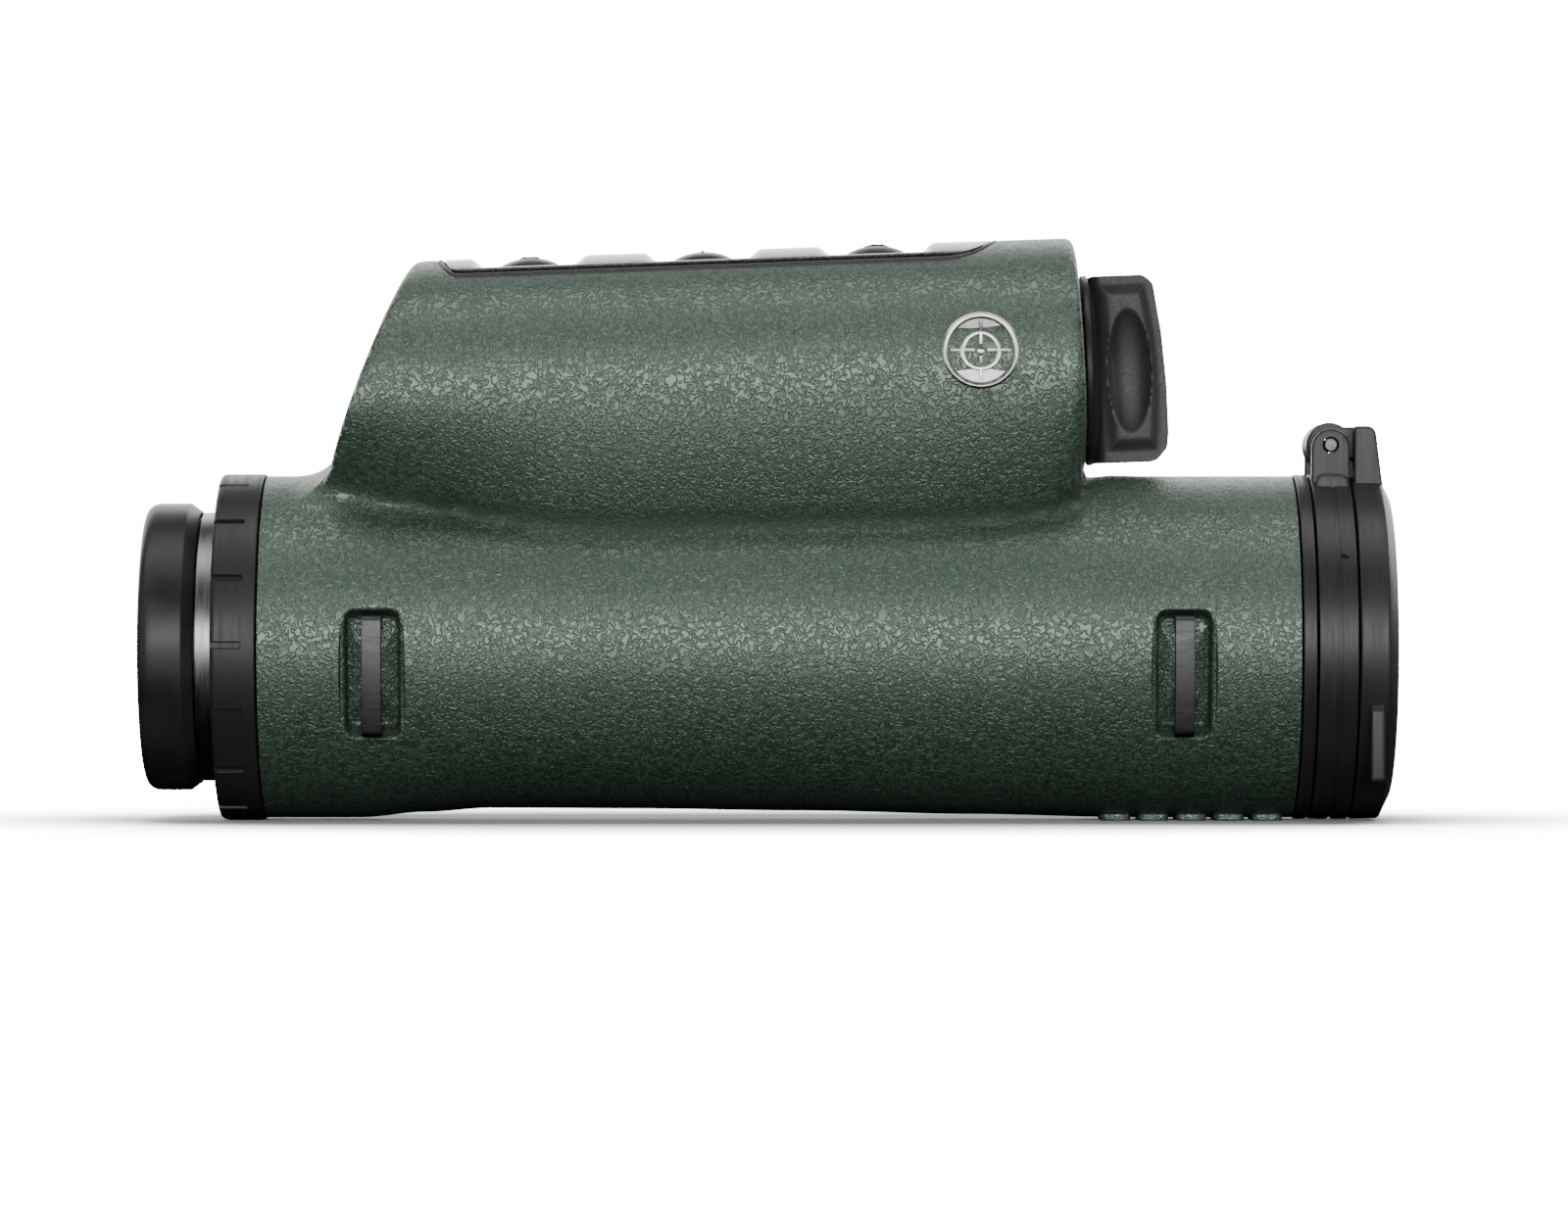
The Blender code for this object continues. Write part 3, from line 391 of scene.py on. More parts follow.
def pocket_tool(side, x, wall=0.0):
    """The space of a lug pocket: soft rims, round corners and a floor that follows the tube."""
    low, high = LUG_SPAN[0] - POCKET_MARGIN, LUG_SPAN[1] + POCKET_MARGIN
    rings = []
    levels = [(POCKET_FLOOR + rise, grow) for rise, grow in POCKET_FLOOR_FILLET]
    for share in (1.0, 0.6, 0.3, 0.1, 0.0):
        depth = share * POCKET_FLARE
        grow = POCKET_FLARE - math.sqrt(POCKET_FLARE ** 2 - (POCKET_FLARE - depth) ** 2)
        levels.append((TUBE_R - depth, grow))
    levels.append((TUBE_R + 3, POCKET_FLARE * 2))
    if wall:
        levels = [(POCKET_FLOOR - wall, wall), (TUBE_R - wall, wall)]
    floor = [(*levels[0], share) for share in POCKET_FLOOR_SHARES]
    middle = (low + high) / 2
    for radius, grow, share in floor + [(*level, 1.0) for level in levels]:
        box = [(-POCKET_HALF - grow, low - grow), (POCKET_HALF + grow, low - grow),
               (POCKET_HALF + grow, high + grow), (-POCKET_HALF - grow, high + grow)]
        outline = rounded(box, POCKET_CORNER + max(grow, 0), 5)
        ring = []
        for dx, dz in outline:
            angle = (middle + (dz - middle) * share) / TUBE_R
            out, up = radius * math.cos(angle), radius * math.sin(angle)
            ring.append((x + dx * share, side * out, AXIS_Z + up))
        rings.append(ring)
    return skin("pocket", rings)


def make_armour():
    """The rubber armour: one moulded skin with its openings, pockets and soft creases."""
    spare = 4
    profile = [(TUBE_REAR - spare, TUBE_R), (TUBE_FRONT + spare, TUBE_R)]
    body = turned("armour_skin", profile, False, count=COARSE_TURNS)
    combine(body, upper_blank("upper", 0), "UNION")
    remesh(body, VOXEL)
    settle(body, armour_field)
    bore = [(TUBE_REAR - 2 * spare - 1, TUBE_R - RUBBER), (TUBE_FRONT + 2 * spare + 1, TUBE_R - RUBBER)]
    combine(body, turned("inner", bore, False, count=COARSE_TURNS))
    combine(body, upper_blank("inner_upper", RUBBER))
    combine(body, slab("opening", panel_outline(0), "z", 70, 95, 0, True))
    combine(body, turned("hole", [(36, CAP_HOLE_R), (60, CAP_HOLE_R)], False, CAP_Z, 64, True))
    for side in (-1, 1):
        for x in LUG_X:
            combine(body, pocket_tool(side, x, POCKET_WALL), "UNION")
            combine(body, pocket_tool(side, x))
    for low, high in ((TUBE_REAR - 20, TUBE_REAR), (TUBE_FRONT, TUBE_FRONT + 20)):
        combine(body, slab("end", [(-40, -20), (40, -20), (40, 110), (-40, 110)], "x", low, high, 0))
    # painted shade: store how deep each vertex lies in the crease, so the rubber is darkened there
    paint_crease_shade(body)
    return even_shading(smooth(body, 38))


# -------- turned rings

def box_profile(x0, x1, inner, outer, radius=0.3):
    """A ring's section with rounded corners."""
    return rounded([(x0, inner), (x0, outer), (x1, outer), (x1, inner)], radius, 3)


def ring(name, x0, x1, inner, outer, radius=0.3, count=TURNS):
    return turned(name, box_profile(x0, x1, inner, outer, radius), True, AXIS_Z, count)


DIOPTER_R, DIOPTER_BORE = 25.17, 20.0
NOTCHES, NOTCH_PHASE = 16, -0.8
NOTCH_LENGTH, NOTCH_WIDTH, NOTCH_DEPTH = 4.6, 1.0, 0.55
NOTCH_TIP_ANGLES = (0.5, 1.05, 1.57, 2.1, 2.64)
NOTCH_RIM = [(-0.12, 0.95), (0.0, 1.12), (1.5, 1.6)]
CUP_R, CUP_BORE, CUP_MOUTH_R = 20.9, 19.25, 16.3
CUP_CHAMFER, CUP_FRONT_R, CUP_RIM = 1.6, 19.75, 1.4
BARREL_BORE, BARREL_REAR_R, BARREL_R, BARREL_FRONT_R = 15.7, 17.2, 19.57, 18.15
BARREL_STEPS = (-82.0, -72.5)
LENS_SHARES = (0.02, 0.2, 0.4, 0.6, 0.8, 0.96, 1.0)


def notch_tool(angle, rear, length, width, radius, depth):
    """A short groove along X with a round inner end, cut into a ring's rim."""
    out = Vector((0, math.cos(angle), math.sin(angle)))
    across = Vector((0, -math.sin(angle), math.cos(angle)))
    half = width / 2
    tip = rear + length - half
    outline = [(rear - 1, -half), (tip, -half)]
    outline += [(tip + half * math.sin(a), -half * math.cos(a)) for a in NOTCH_TIP_ANGLES]
    outline += [(tip, half), (rear - 1, half)]
    rings = []
    for level, grow in ((-depth, 0.75), *NOTCH_RIM):
        base = Vector((0, 0, AXIS_Z)) + out * (radius + level)
        rings.append([base + across * (s * grow) + Vector((x, 0, 0)) for x, s in outline])
    return skin("notch", rings)


def make_diopter():
    """The focusing ring, with short notches round its rear rim."""
    rear, front = edge("diopter_ring", 0, False), edge("diopter_ring", 0, True)
    outline = [(rear, DIOPTER_BORE), (rear, DIOPTER_R), (front, DIOPTER_R), (front, DIOPTER_BORE)]
    profile = rounded(outline, [0.2, 0.9, 0.25, 0.2], 6)
    body = turned("diopter_knurl", profile, True, AXIS_Z, 240)
    for k in range(NOTCHES):
        angle = math.radians(NOTCH_PHASE + 360 * k / NOTCHES)
        combine(body, notch_tool(angle, rear, NOTCH_LENGTH, NOTCH_WIDTH, DIOPTER_R, NOTCH_DEPTH))
    return body


def make_eyecup():
    """The rubber cup: rounded rear rim, an inner lip at its mouth and a chamfer to the barrel."""
    rear, front = edge("eyecup", 0, False), edge("eyecup", 0, True)
    outline = [(rear, CUP_MOUTH_R), (rear, CUP_R), (front - CUP_CHAMFER, CUP_R), (front, CUP_FRONT_R),
               (front, CUP_BORE), (rear + CUP_RIM, CUP_BORE), (rear + CUP_RIM, CUP_MOUTH_R)]
    profile = rounded(outline, [0.6, 2.5, 0.35, 0.2, 0.1, 0.2, 0.5], 7)
    return turned("eyecup_rubber", profile, True, AXIS_Z, 180)


def make_barrel():
    """The eyepiece tube, widest in the gap between the eyecup and the focusing ring."""
    rear, front = edge("eyepiece_barrel", 0, False), edge("eyepiece_barrel", 0, True)
    step_up, step_down = BARREL_STEPS
    outline = [(rear, BARREL_BORE), (rear, BARREL_REAR_R), (step_up, BARREL_REAR_R), (step_up, BARREL_R),
               (step_down, BARREL_R), (step_down, BARREL_FRONT_R), (front, BARREL_FRONT_R),
               (front, BARREL_BORE)]
    return turned("eyepiece_tube", rounded(outline, 0.2, 3), True, AXIS_Z, 160)


def make_lens(name, node, radius, bulge):
    """A polished lens with two domed faces and a ground rim."""
    low, high = edge(node, 0, False), edge(node, 0, True)
    rear = [(low + bulge * f * f, radius * f) for f in LENS_SHARES]
    front = [(high - bulge * f * f, radius * f) for f in reversed(LENS_SHARES)]
    return turned(name, rear + front, False, AXIS_Z, COARSE_TURNS)


# -------- clamp ring, pin and lid

PIN_X, PIN_Z = 81.56, AXIS_Z + 29.25
EAR_Y = (5.5, 8.0)
KNUCKLE_HALF = 5.2
RING_R = 25.07
MOUTH_R = 17.6
FINE_TURNS = 200
GROOVE_X, GROOVE_DEPTH = 81.3, 0.25
EAR_R, EAR_REAR_X = 2.75, 78.78
HINGE_BORE, PIN_R, PIN_STICK_OUT = 1.2, 0.95, 0.12
GUSSET = [(79.2, 22.7), (79.2, 24.3), (80.2, 25.1), (83.2, 25.1), (84.1, 24.3), (84.1, 22.7)]
LID_FLOOR, LID_CAVITY, LID_DRAFT = 88.2, 21.6, 0.3
LID_FACE_R = 21.9
TOWER_HALF, TOWER_REAR_X = 8, 84.95
ARM_X, KNUCKLE_R = 86, 3.3
TAB_X = (86.05, 88.1)
TAB = [(17.0, -18.4), (24.4, -19.4), (24.4, -9.0), (22.6, -6.4), (17.0, -6.4)]


def pin_rod(name, half, radius, count=48, bevel=0.0):
    """A rod along Y on the hinge line."""
    turns = [2 * math.pi * k / count for k in range(count)]
    levels = [(-half, radius - bevel), (-half + bevel, radius), (half - bevel, radius),
              (half, radius - bevel)] if bevel else [(-half, radius), (half, radius)]
    rings = [[(PIN_X + r * math.cos(a), y, PIN_Z + r * math.sin(a)) for a in turns] for y, r in levels]
    return skin(name, rings)


def groove_tool():
    """A fine groove with sloped sides, round the clamp ring."""
    floor, open_r = RING_R - GROOVE_DEPTH, RING_R + 1
    profile = [(GROOVE_X + dx, r) for dx, r in ((0, floor), (0.25, open_r), (0.55, open_r), (0.8, floor))]
    return turned("groove", profile, True, AXIS_Z, FINE_TURNS)


def make_clamp():
    """The ring that holds the lid's hinge: two ears on gussets, and a fine groove."""
    low, high = edge("lid_clamp_ring", 0, False), edge("lid_clamp_ring", 0, True)
    body = ring("lid_clamp", low, high, MOUTH_R, RING_R, 0.22, FINE_TURNS)
    combine(body, groove_tool())
    top = PIN_Z - 0.4
    for side in (-1, 1):
        arc = [(PIN_X + EAR_R * math.cos(a), top + EAR_R * math.sin(a))
               for a in (math.pi * k / 20 for k in range(21))]
        outline = [(EAR_REAR_X, AXIS_Z + 22), (high - 0.02, AXIS_Z + 22)] + arc
        y0, y1 = sorted((side * EAR_Y[0], side * EAR_Y[1]))
        combine(body, slab("ear", outline, "y", y0, y1, 0.35), "UNION")
        y0, y1 = sorted((side * (EAR_Y[0] + 0.3), side * (EAR_Y[1] + 1.4)))
        outline = [(x, AXIS_Z + z) for x, z in GUSSET]
        combine(body, slab("gusset", outline, "y", y0, y1, 0.4), "UNION")
    combine(body, turned("mouth", [(70, MOUTH_R), (90, MOUTH_R)], False, AXIS_Z, FINE_TURNS))
    combine(body, pin_rod("hole", 12, HINGE_BORE))
    return body


def make_pin():
    """The hinge pin, just proud of the ears, with bevelled ends."""
    return pin_rod("hinge_pin_rod", EAR_Y[1] + PIN_STICK_OUT, PIN_R, 40, 0.15)


def make_lid():
    """The objective lid: turned cap, hinge tower, knuckle and finger tabs."""
    low, high = edge("lid_seal", 0, False) - 0.3, edge("lens_lid", 0, True)
    outline = [(LID_FLOOR, LID_CAVITY - LID_DRAFT), (low, LID_CAVITY), (low, RING_R),
               (88.75, RING_R - 0.06), (high, LID_FACE_R)]
    profile = rounded([(LID_FLOOR, 1.0)] + outline + [(high, 1.0)], [0, 0.5, 0.15, 0.4, 0.55, 0.5, 0], 5)
    body = turned("objective_lid", profile, False, AXIS_Z, FINE_TURNS)
    top, foot = AXIS_Z + 32.0, AXIS_Z + 21.5
    tower = [(TOWER_REAR_X, foot), (89.3, foot), (88.0, top), (TOWER_REAR_X, top)]
    tower = rounded(tower, [0, 0, 1.5, 0.5], 8)
    combine(body, slab("tower", tower, "y", -TOWER_HALF, TOWER_HALF, 0.45), "UNION")
    low_side, high_side = PIN_Z - 2.0, top - 0.1
    arm = rounded([(PIN_X, low_side), (ARM_X, low_side), (ARM_X, high_side), (PIN_X + 0.6, high_side)],
                  [0, 0, 0, 1.2], 5)
    combine(body, slab("arm", arm, "y", -KNUCKLE_HALF, KNUCKLE_HALF, 0.3), "UNION")
    combine(body, pin_rod("knuckle", KNUCKLE_HALF, KNUCKLE_R, 64, 0.3), "UNION")
    combine(body, pin_rod("hole", 12, HINGE_BORE))
    for side in (-1, 1):
        combine(body, grip_tab(side), "UNION")
    cavity = [(80, LID_CAVITY), (LID_FLOOR, LID_CAVITY - LID_DRAFT)]
    combine(body, turned("cavity", cavity, False, AXIS_Z, FINE_TURNS))
    return body


def grip_tab(side):
    """A finger tab low on the lid's side, with a sloped upper end and soft edges."""
    outline = rounded(TAB, [0, 0.8, 1.4, 1.0, 0], 5)
    return slab("tab", [(side * y, AXIS_Z + z) for y, z in outline], "x", *TAB_X, 0.4)


# -------- strap lugs and feet

LUG_HALF, LUG_TOP_END, LUG_FOOT_END = 1.4, 19.6, 16.2
LUG_STEPS = 10
FOOT_X = (50.5, 56.0, 61.5, 67.0, 72.5)
FOOT_HALF_LENGTH, FOOT_HALF_WIDTH, FOOT_HEIGHT = 6.0, 2.2, 1.0


def make_lug(name, side, x):
    """A flat bar with both ends bent in, with soft edges."""
    top, foot = LUG_SPAN[1], LUG_SPAN[0]
    inner_top, inner_foot = top - LUG_BAR, foot + LUG_BAR
    steps = [foot + (top - foot) * k / LUG_STEPS for k in range(LUG_STEPS + 1)]
    outer = [(LUG_OUT - w * w / LUG_BOW, w) for w in reversed(steps)]
    inner = [(LUG_OUT - LUG_BAR - w * w / LUG_BOW, min(max(w, inner_foot), inner_top)) for w in steps]
    outline = [(LUG_TOP_END, top)] + outer + [(LUG_FOOT_END, foot), (LUG_FOOT_END, inner_foot)]
    outline += inner + [(LUG_TOP_END, inner_top)]
    corners = [0, 1.0] + [0] * (LUG_STEPS - 1) + [1.2] + [0] * (len(outline) - LUG_STEPS - 2)
    curve = rounded(outline, corners, 6)
    points = [(side * y, AXIS_Z + w) for y, w in curve]
    return slab(name, points, "x", x - LUG_HALF, x + LUG_HALF, 0.35)


def make_foot(index, x):
    """One of the low ribs that the object rests on."""
    low, high, half = x - FOOT_HALF_WIDTH, x + FOOT_HALF_WIDTH, FOOT_HALF_LENGTH
    box = rounded([(low, -half), (high, -half), (high, half), (low, half)], 1.4, 6)
    return slab("foot_rib_%d" % index, box, "z", 0.0, FOOT_HEIGHT, 0.18)


# -------- control panel and buttons

BUTTON_X = (-34.65, -9.45, 15.75)
BUTTON_NAMES = ("rear", "middle", "front")
SCALLOP_DEPTH = 1.7
PANEL_INSET = 1.15
SCALLOP_FLOOR = MODULE_TOP - SCALLOP_DEPTH
SCALLOP_HALF, SCALLOP_SLOPE = 8.6, 2.5
PANEL_ROLL = 0.55
PANEL_STEPS, PANEL_CROSS = 260, 64
KEY_HOLE = [(5.25, 70), (5.25, SCALLOP_FLOOR - 0.3), (5.4, SCALLOP_FLOOR - 0.08),
            (5.65, SCALLOP_FLOOR + 0.02), (5.9, 90)]
SEAL_SKIN = [(0.0, -2.2), (0.0, -0.28), (0.12, -0.08), (0.5, 0.1), (0.88, -0.02), (1.0, -0.25), (1.0, -2.2)]
KEY_R, KEY_FLANGE_R, KEY_ARC = 5.0, 6.15, 1.25


def soft_step(value):
    """Ease from 0 to 1."""
    value = min(max(value, 0.0), 1.0)
    return value * value * (3 - 2 * value)


def lobe_height(y):
    """Height of the upper body's top skin above a point off its middle."""
    return LOBE_Z + LOBE_RISE * (1 - (abs(y) / LOBE_HALF) ** LOBE_POWER) ** (1 / LOBE_POWER)


def panel_ends():
    return PANEL_REAR - PANEL_BOWS[1] + PANEL_INSET, PANEL_FRONT + PANEL_BOWS[0] - PANEL_INSET


def panel_top(u, y):
    """Top of the panel: the upper body's curve, three troughs and a rolled rim."""
    height = lobe_height(y) + 0.02
    for x in BUTTON_X:
        share = soft_step((SCALLOP_HALF - abs(u - x)) / SCALLOP_SLOPE)
        height = min(height, height * (1 - share) + min(SCALLOP_FLOOR, height) * share)
    side = max(panel_half(u, PANEL_INSET) - abs(y), 0.0)
    rear, front = panel_ends()
    rim = min(side, max(min(u - rear, front - u), 0) * 1.2, PANEL_ROLL)
    return height - (PANEL_ROLL - math.sqrt(PANEL_ROLL ** 2 - (PANEL_ROLL - rim) ** 2))


def make_panel():
    """The scalloped panel as a closed sheet 2.2 mm thick, wrapped over the top."""
    rear, front = panel_ends()
    steps, cross = PANEL_STEPS, PANEL_CROSS
    stops = [0.5 - 0.5 * math.cos(math.pi * k / steps) for k in range(steps + 1)]
    stops = [0.6 * s + 0.4 * k / steps for k, s in enumerate(stops)]
    verts, faces = [], []
    for s in stops:
        u = rear + (front - rear) * s
        half = max(panel_half(u, PANEL_INSET), 0.35)
        for k in range(cross + 1):
            t = -math.cos(math.pi * k / cross)
            t = 0.5 * t + 0.5 * (2 * k / cross - 1)
            verts.append((u, half * t, panel_top(u, half * t)))
    row = cross + 1
    total = len(verts)
    verts += [(u, y, min(z, lobe_height(y) - 1.6) - 1.4) for u, y, z in verts[:total]]
    for i in range(steps):
        for k in range(cross):
            a = i * row + k
            faces.append((a, a + 1, a + row + 1, a + row))
            faces.append((a + total, a + row + total, a + row + 1 + total, a + 1 + total))
    border = list(range(cross)) + [i * row + cross for i in range(steps)]
    border += [steps * row + cross - k for k in range(cross)] + [(steps - i) * row for i in range(steps)]
    for a, b in zip(border, border[1:] + border[:1]):
        faces.append((a, b, b + total, a + total))
    body = from_data("top_panel", verts, faces, 50)
    for x in BUTTON_X:
        combine(body, upright("hole", KEY_HOLE, x))
    return lean(body)


def upright(name, profile, x, count=72, angle=32):
    """Turn (radius, height) points round an upright line in the module's frame."""
    turns = [2 * math.pi * k / count for k in range(count)]
    rings = [[(x + r * math.cos(a), r * math.sin(a), z) for a in turns] for r, z in profile]
    return skin(name, rings, False, angle)


def make_seal():
    """The thin gasket round the panel, with a rounded top edge."""
    outer, inner = panel_outline(0.12, 40), panel_outline(1.05, 40)
    rings = []
    for share, lift in SEAL_SKIN:
        ring_points = []
        for (ox, oy), (ix, iy) in zip(outer, inner):
            x, y = ox + (ix - ox) * share, oy + (iy - oy) * share
            ring_points.append((x, y, lobe_height(y) + lift))
        rings.append(ring_points)
    return lean(skin("panel_gasket", rings, True, 40))


def button_profile():
    """Section of a key: a flange under the panel, a straight side and a domed top."""
    top, steps = MODULE_TOP, 14
    dome = []
    for k in range(steps, 0, -1):
        angle = KEY_ARC * k / steps
        rise = (math.cos(angle) - math.cos(KEY_ARC)) / (1 - math.cos(KEY_ARC))
        dome.append((KEY_R * math.sin(angle) / math.sin(KEY_ARC), top - 1.95 + 1.85 * rise))
    flange = [(KEY_FLANGE_R, top - 5.0), (KEY_FLANGE_R, top - 4.4), (KEY_R, top - 4.35)]
    return flange + [(KEY_R, top - 2.3)] + dome + [(0.2, top - 0.1)]


def make_button(which, x):
    """A domed rubber key with a small raised tactile mark of its own."""
    body = upright("key_" + which, button_profile(), x, 96, 60)
    marks = {"rear": [(-1.5, 0.0), (-1.0, 0.0), (-0.4, 0.55), (0.4, 0.55), (1.0, 0.0), (1.5, 0.0)],
             "middle": [(0.0, -1.6), (0.0, -0.8), (0.0, 0.0), (0.0, 0.8), (0.0, 1.6)],
             "front": [(-1.6, -0.4), (-0.9, 0.35), (-0.2, -0.3), (0.5, 0.35), (1.2, -0.3), (1.8, 0.3)]}
    combine(body, raised_line("mark", marks[which], x), "UNION")
    return lean(body)


def raised_line(name, points, x, radius=0.32):
    """A small rounded ridge along a short path on the key's top."""
    rings = []
    path = [Vector((x + a, b, MODULE_TOP - 0.16 - 0.045 * (a * a + b * b))) for a, b in points]
    for i, here in enumerate(path):
        ahead = (path[min(i + 1, len(path) - 1)] - path[max(i - 1, 0)]).normalized()
        across = ahead.cross(Vector((0, 0, 1))).normalized()
        size = radius * (0.55 if i in (0, len(path) - 1) else 1.0)
        rings.append([here + across * (size * math.cos(a)) + Vector((0, 0, size * math.sin(a)))
                      for a in (2 * math.pi * k / 12 for k in range(12))])
    return skin(name, rings)


# -------- battery cap

CAP_X = 45.3
CAP_R = 13.85
CAP_BASE, CAP_STEP, CAP_STEP_R = 1.0, 1.8, 11.0
WING_LEVELS, WING_SPACING = 40, 0.4
WING_HALF_HEIGHT, WING_CENTRE_X = 13.55, 51.8
WING_THICK, WING_RAISE = 4.5, 0.55
DIMPLE_X, DIMPLE_DROP, DIMPLE_HALF_X, DIMPLE_HALF_Z, DIMPLE_DEPTH = 51.9, 0.4, 3.2, 9.0, 1.3


def wing_outline():
    """Side view of the grip: a straight base and a bowed front edge with soft corners."""
    top, foot = CAP_Z + WING_HALF_HEIGHT, CAP_Z - WING_HALF_HEIGHT
    front = [(54.3, top), (55.75, CAP_Z + 12.3), (56.75, CAP_Z + 5.0), (57.25, CAP_Z - 2.5),
             (57.3, CAP_Z - 9.6), (57.0, CAP_Z - 11.8), (55.4, foot)]
    points = [(CAP_X + 0.5, top)] + front + [(CAP_X + 0.5, foot)]
    return rounded(points, [1.5, 1.4, 1.4, 8, 8, 2.0, 1.4, 1.4, 0.8], 6)


def wing_face(u, w):
    """Half thickness of the grip: raised plateau, sloped border and a tall finger dimple."""
    top = (CAP_Z + 12.6 - w) / 2.2
    foot = (w - (CAP_Z - 12.2)) / 2.2
    rear = (u - (47.6 + (CAP_Z - w) * 0.035)) / 2.4
    bow = 56.5 - 0.007 * (w - CAP_Z + 3) ** 2
    front = (bow - u) / 2.0
    plateau = soft_step(min(top, foot, rear, front))
    back = 1.6 * max((CAP_X + 3.0 - u) / 2.5, 0.0) ** 2
    dimple = ((u - DIMPLE_X) / DIMPLE_HALF_X) ** 2 + ((w - CAP_Z + DIMPLE_DROP) / DIMPLE_HALF_Z) ** 2
    return WING_THICK + WING_RAISE * plateau - back - DIMPLE_DEPTH * max(1 - dimple, 0.0) ** 0.8


def make_wing():
    """The wing grip as one closed skin: nested outlines on both faces."""
    outline = wing_outline()
    dense = []
    for (u0, w0), (u1, w1) in zip(outline, outline[1:] + outline[:1]):
        parts = max(1, int(math.hypot(u1 - u0, w1 - w0) / WING_SPACING))
        dense += [(u0 + (u1 - u0) * k / parts, w0 + (w1 - w0) * k / parts) for k in range(parts)]
    face = []
    for k in range(WING_LEVELS + 1):
        level = 0.02 + 0.98 * math.sin(math.pi / 2 * k / WING_LEVELS)
        roll = 0.9 if k == WING_LEVELS else (0.3 if k == WING_LEVELS - 1 else 0.0)
        ring = []
        for u, w in dense:
            x, z = WING_CENTRE_X + (u - WING_CENTRE_X) * level, CAP_Z + (w - CAP_Z) * level
            ring.append((x, wing_face(x, z) - roll, z))
        face.append(ring)
    other = [[(x, -y, z) for x, y, z in ring] for ring in reversed(face)]
    return skin("wing", face + other, angle=50)


def make_cap():
    """The battery cap: a round base with a wing grip across it."""
    outline = [(CAP_X, 1.0), (CAP_X, CAP_R), (CAP_X + CAP_BASE, CAP_R), (CAP_X + CAP_STEP, CAP_STEP_R),
               (CAP_X + CAP_STEP, 1.0)]
    body = turned("cap_grip", rounded(outline, [0, 0.3, 0.5, 0.5, 0], 5), False, CAP_Z)
    combine(body, make_wing(), "UNION")
    return lean(body)


# -------- badge

BADGE_X, BADGE_Z, BADGE_R = 30.5, 67.6, 5.55
BADGE_LEAN = math.radians(9.0)
BADGE_FACE = [(BADGE_R, -0.75), (BADGE_R, 0.3), (5.3, 0.5), (4.95, 0.52), (4.75, 0.42), (4.6, 0.16),
              (3.0, 0.2), (2.9, 0.42), (2.6, 0.5), (2.3, 0.42), (2.2, 0.2), (0.3, 0.22)]


def on_badge(points):
    """Turn (right, up, out) points into places on the badge's leaning face."""
    out = Vector((0, -math.cos(BADGE_LEAN), math.sin(BADGE_LEAN)))
    up = Vector((0, math.sin(BADGE_LEAN), math.cos(BADGE_LEAN)))
    above = (BADGE_Z + 1.1 - LOBE_Z) / LOBE_RISE
    surface = LOBE_HALF * (1 - above ** LOBE_POWER) ** (1 / LOBE_POWER)
    centre = Vector((BADGE_X, -surface, BADGE_Z))
    return [centre + Vector((1, 0, 0)) * a + up * b + out * c for a, b, c in points]


def make_badge():
    """A plain round medallion: a raised rim, a fine inner ring and a sighting cross."""
    turns = [2 * math.pi * k / 96 for k in range(96)]
    rings = [on_badge([(r * math.cos(a), r * math.sin(a), h) for a in turns]) for r, h in BADGE_FACE]
    body = skin("round_badge", rings)
    for k in range(4):
        angle = math.pi * k / 2
        c, s = math.cos(angle), math.sin(angle)
        flat = [(0.9, -0.3), (4.3, -0.22), (4.3, 0.22), (0.9, 0.3)]
        levels = [(-0.2, 1.0), (0.32, 1.0), (0.46, 0.6)]
        bar = [on_badge([(c * a - s * b * g, s * a + c * b * g, h) for a, b in flat]) for h, g in levels]
        combine(body, skin("bar", bar), "UNION")
    dot = [on_badge([(0.62 * g * math.cos(a), 0.62 * g * math.sin(a), h) for a in turns[::4]])
           for h, g in ((0.0, 1.0), (0.38, 1.0), (0.5, 0.6))]
    combine(body, skin("dot", dot), "UNION")
    return body


# -------- materials

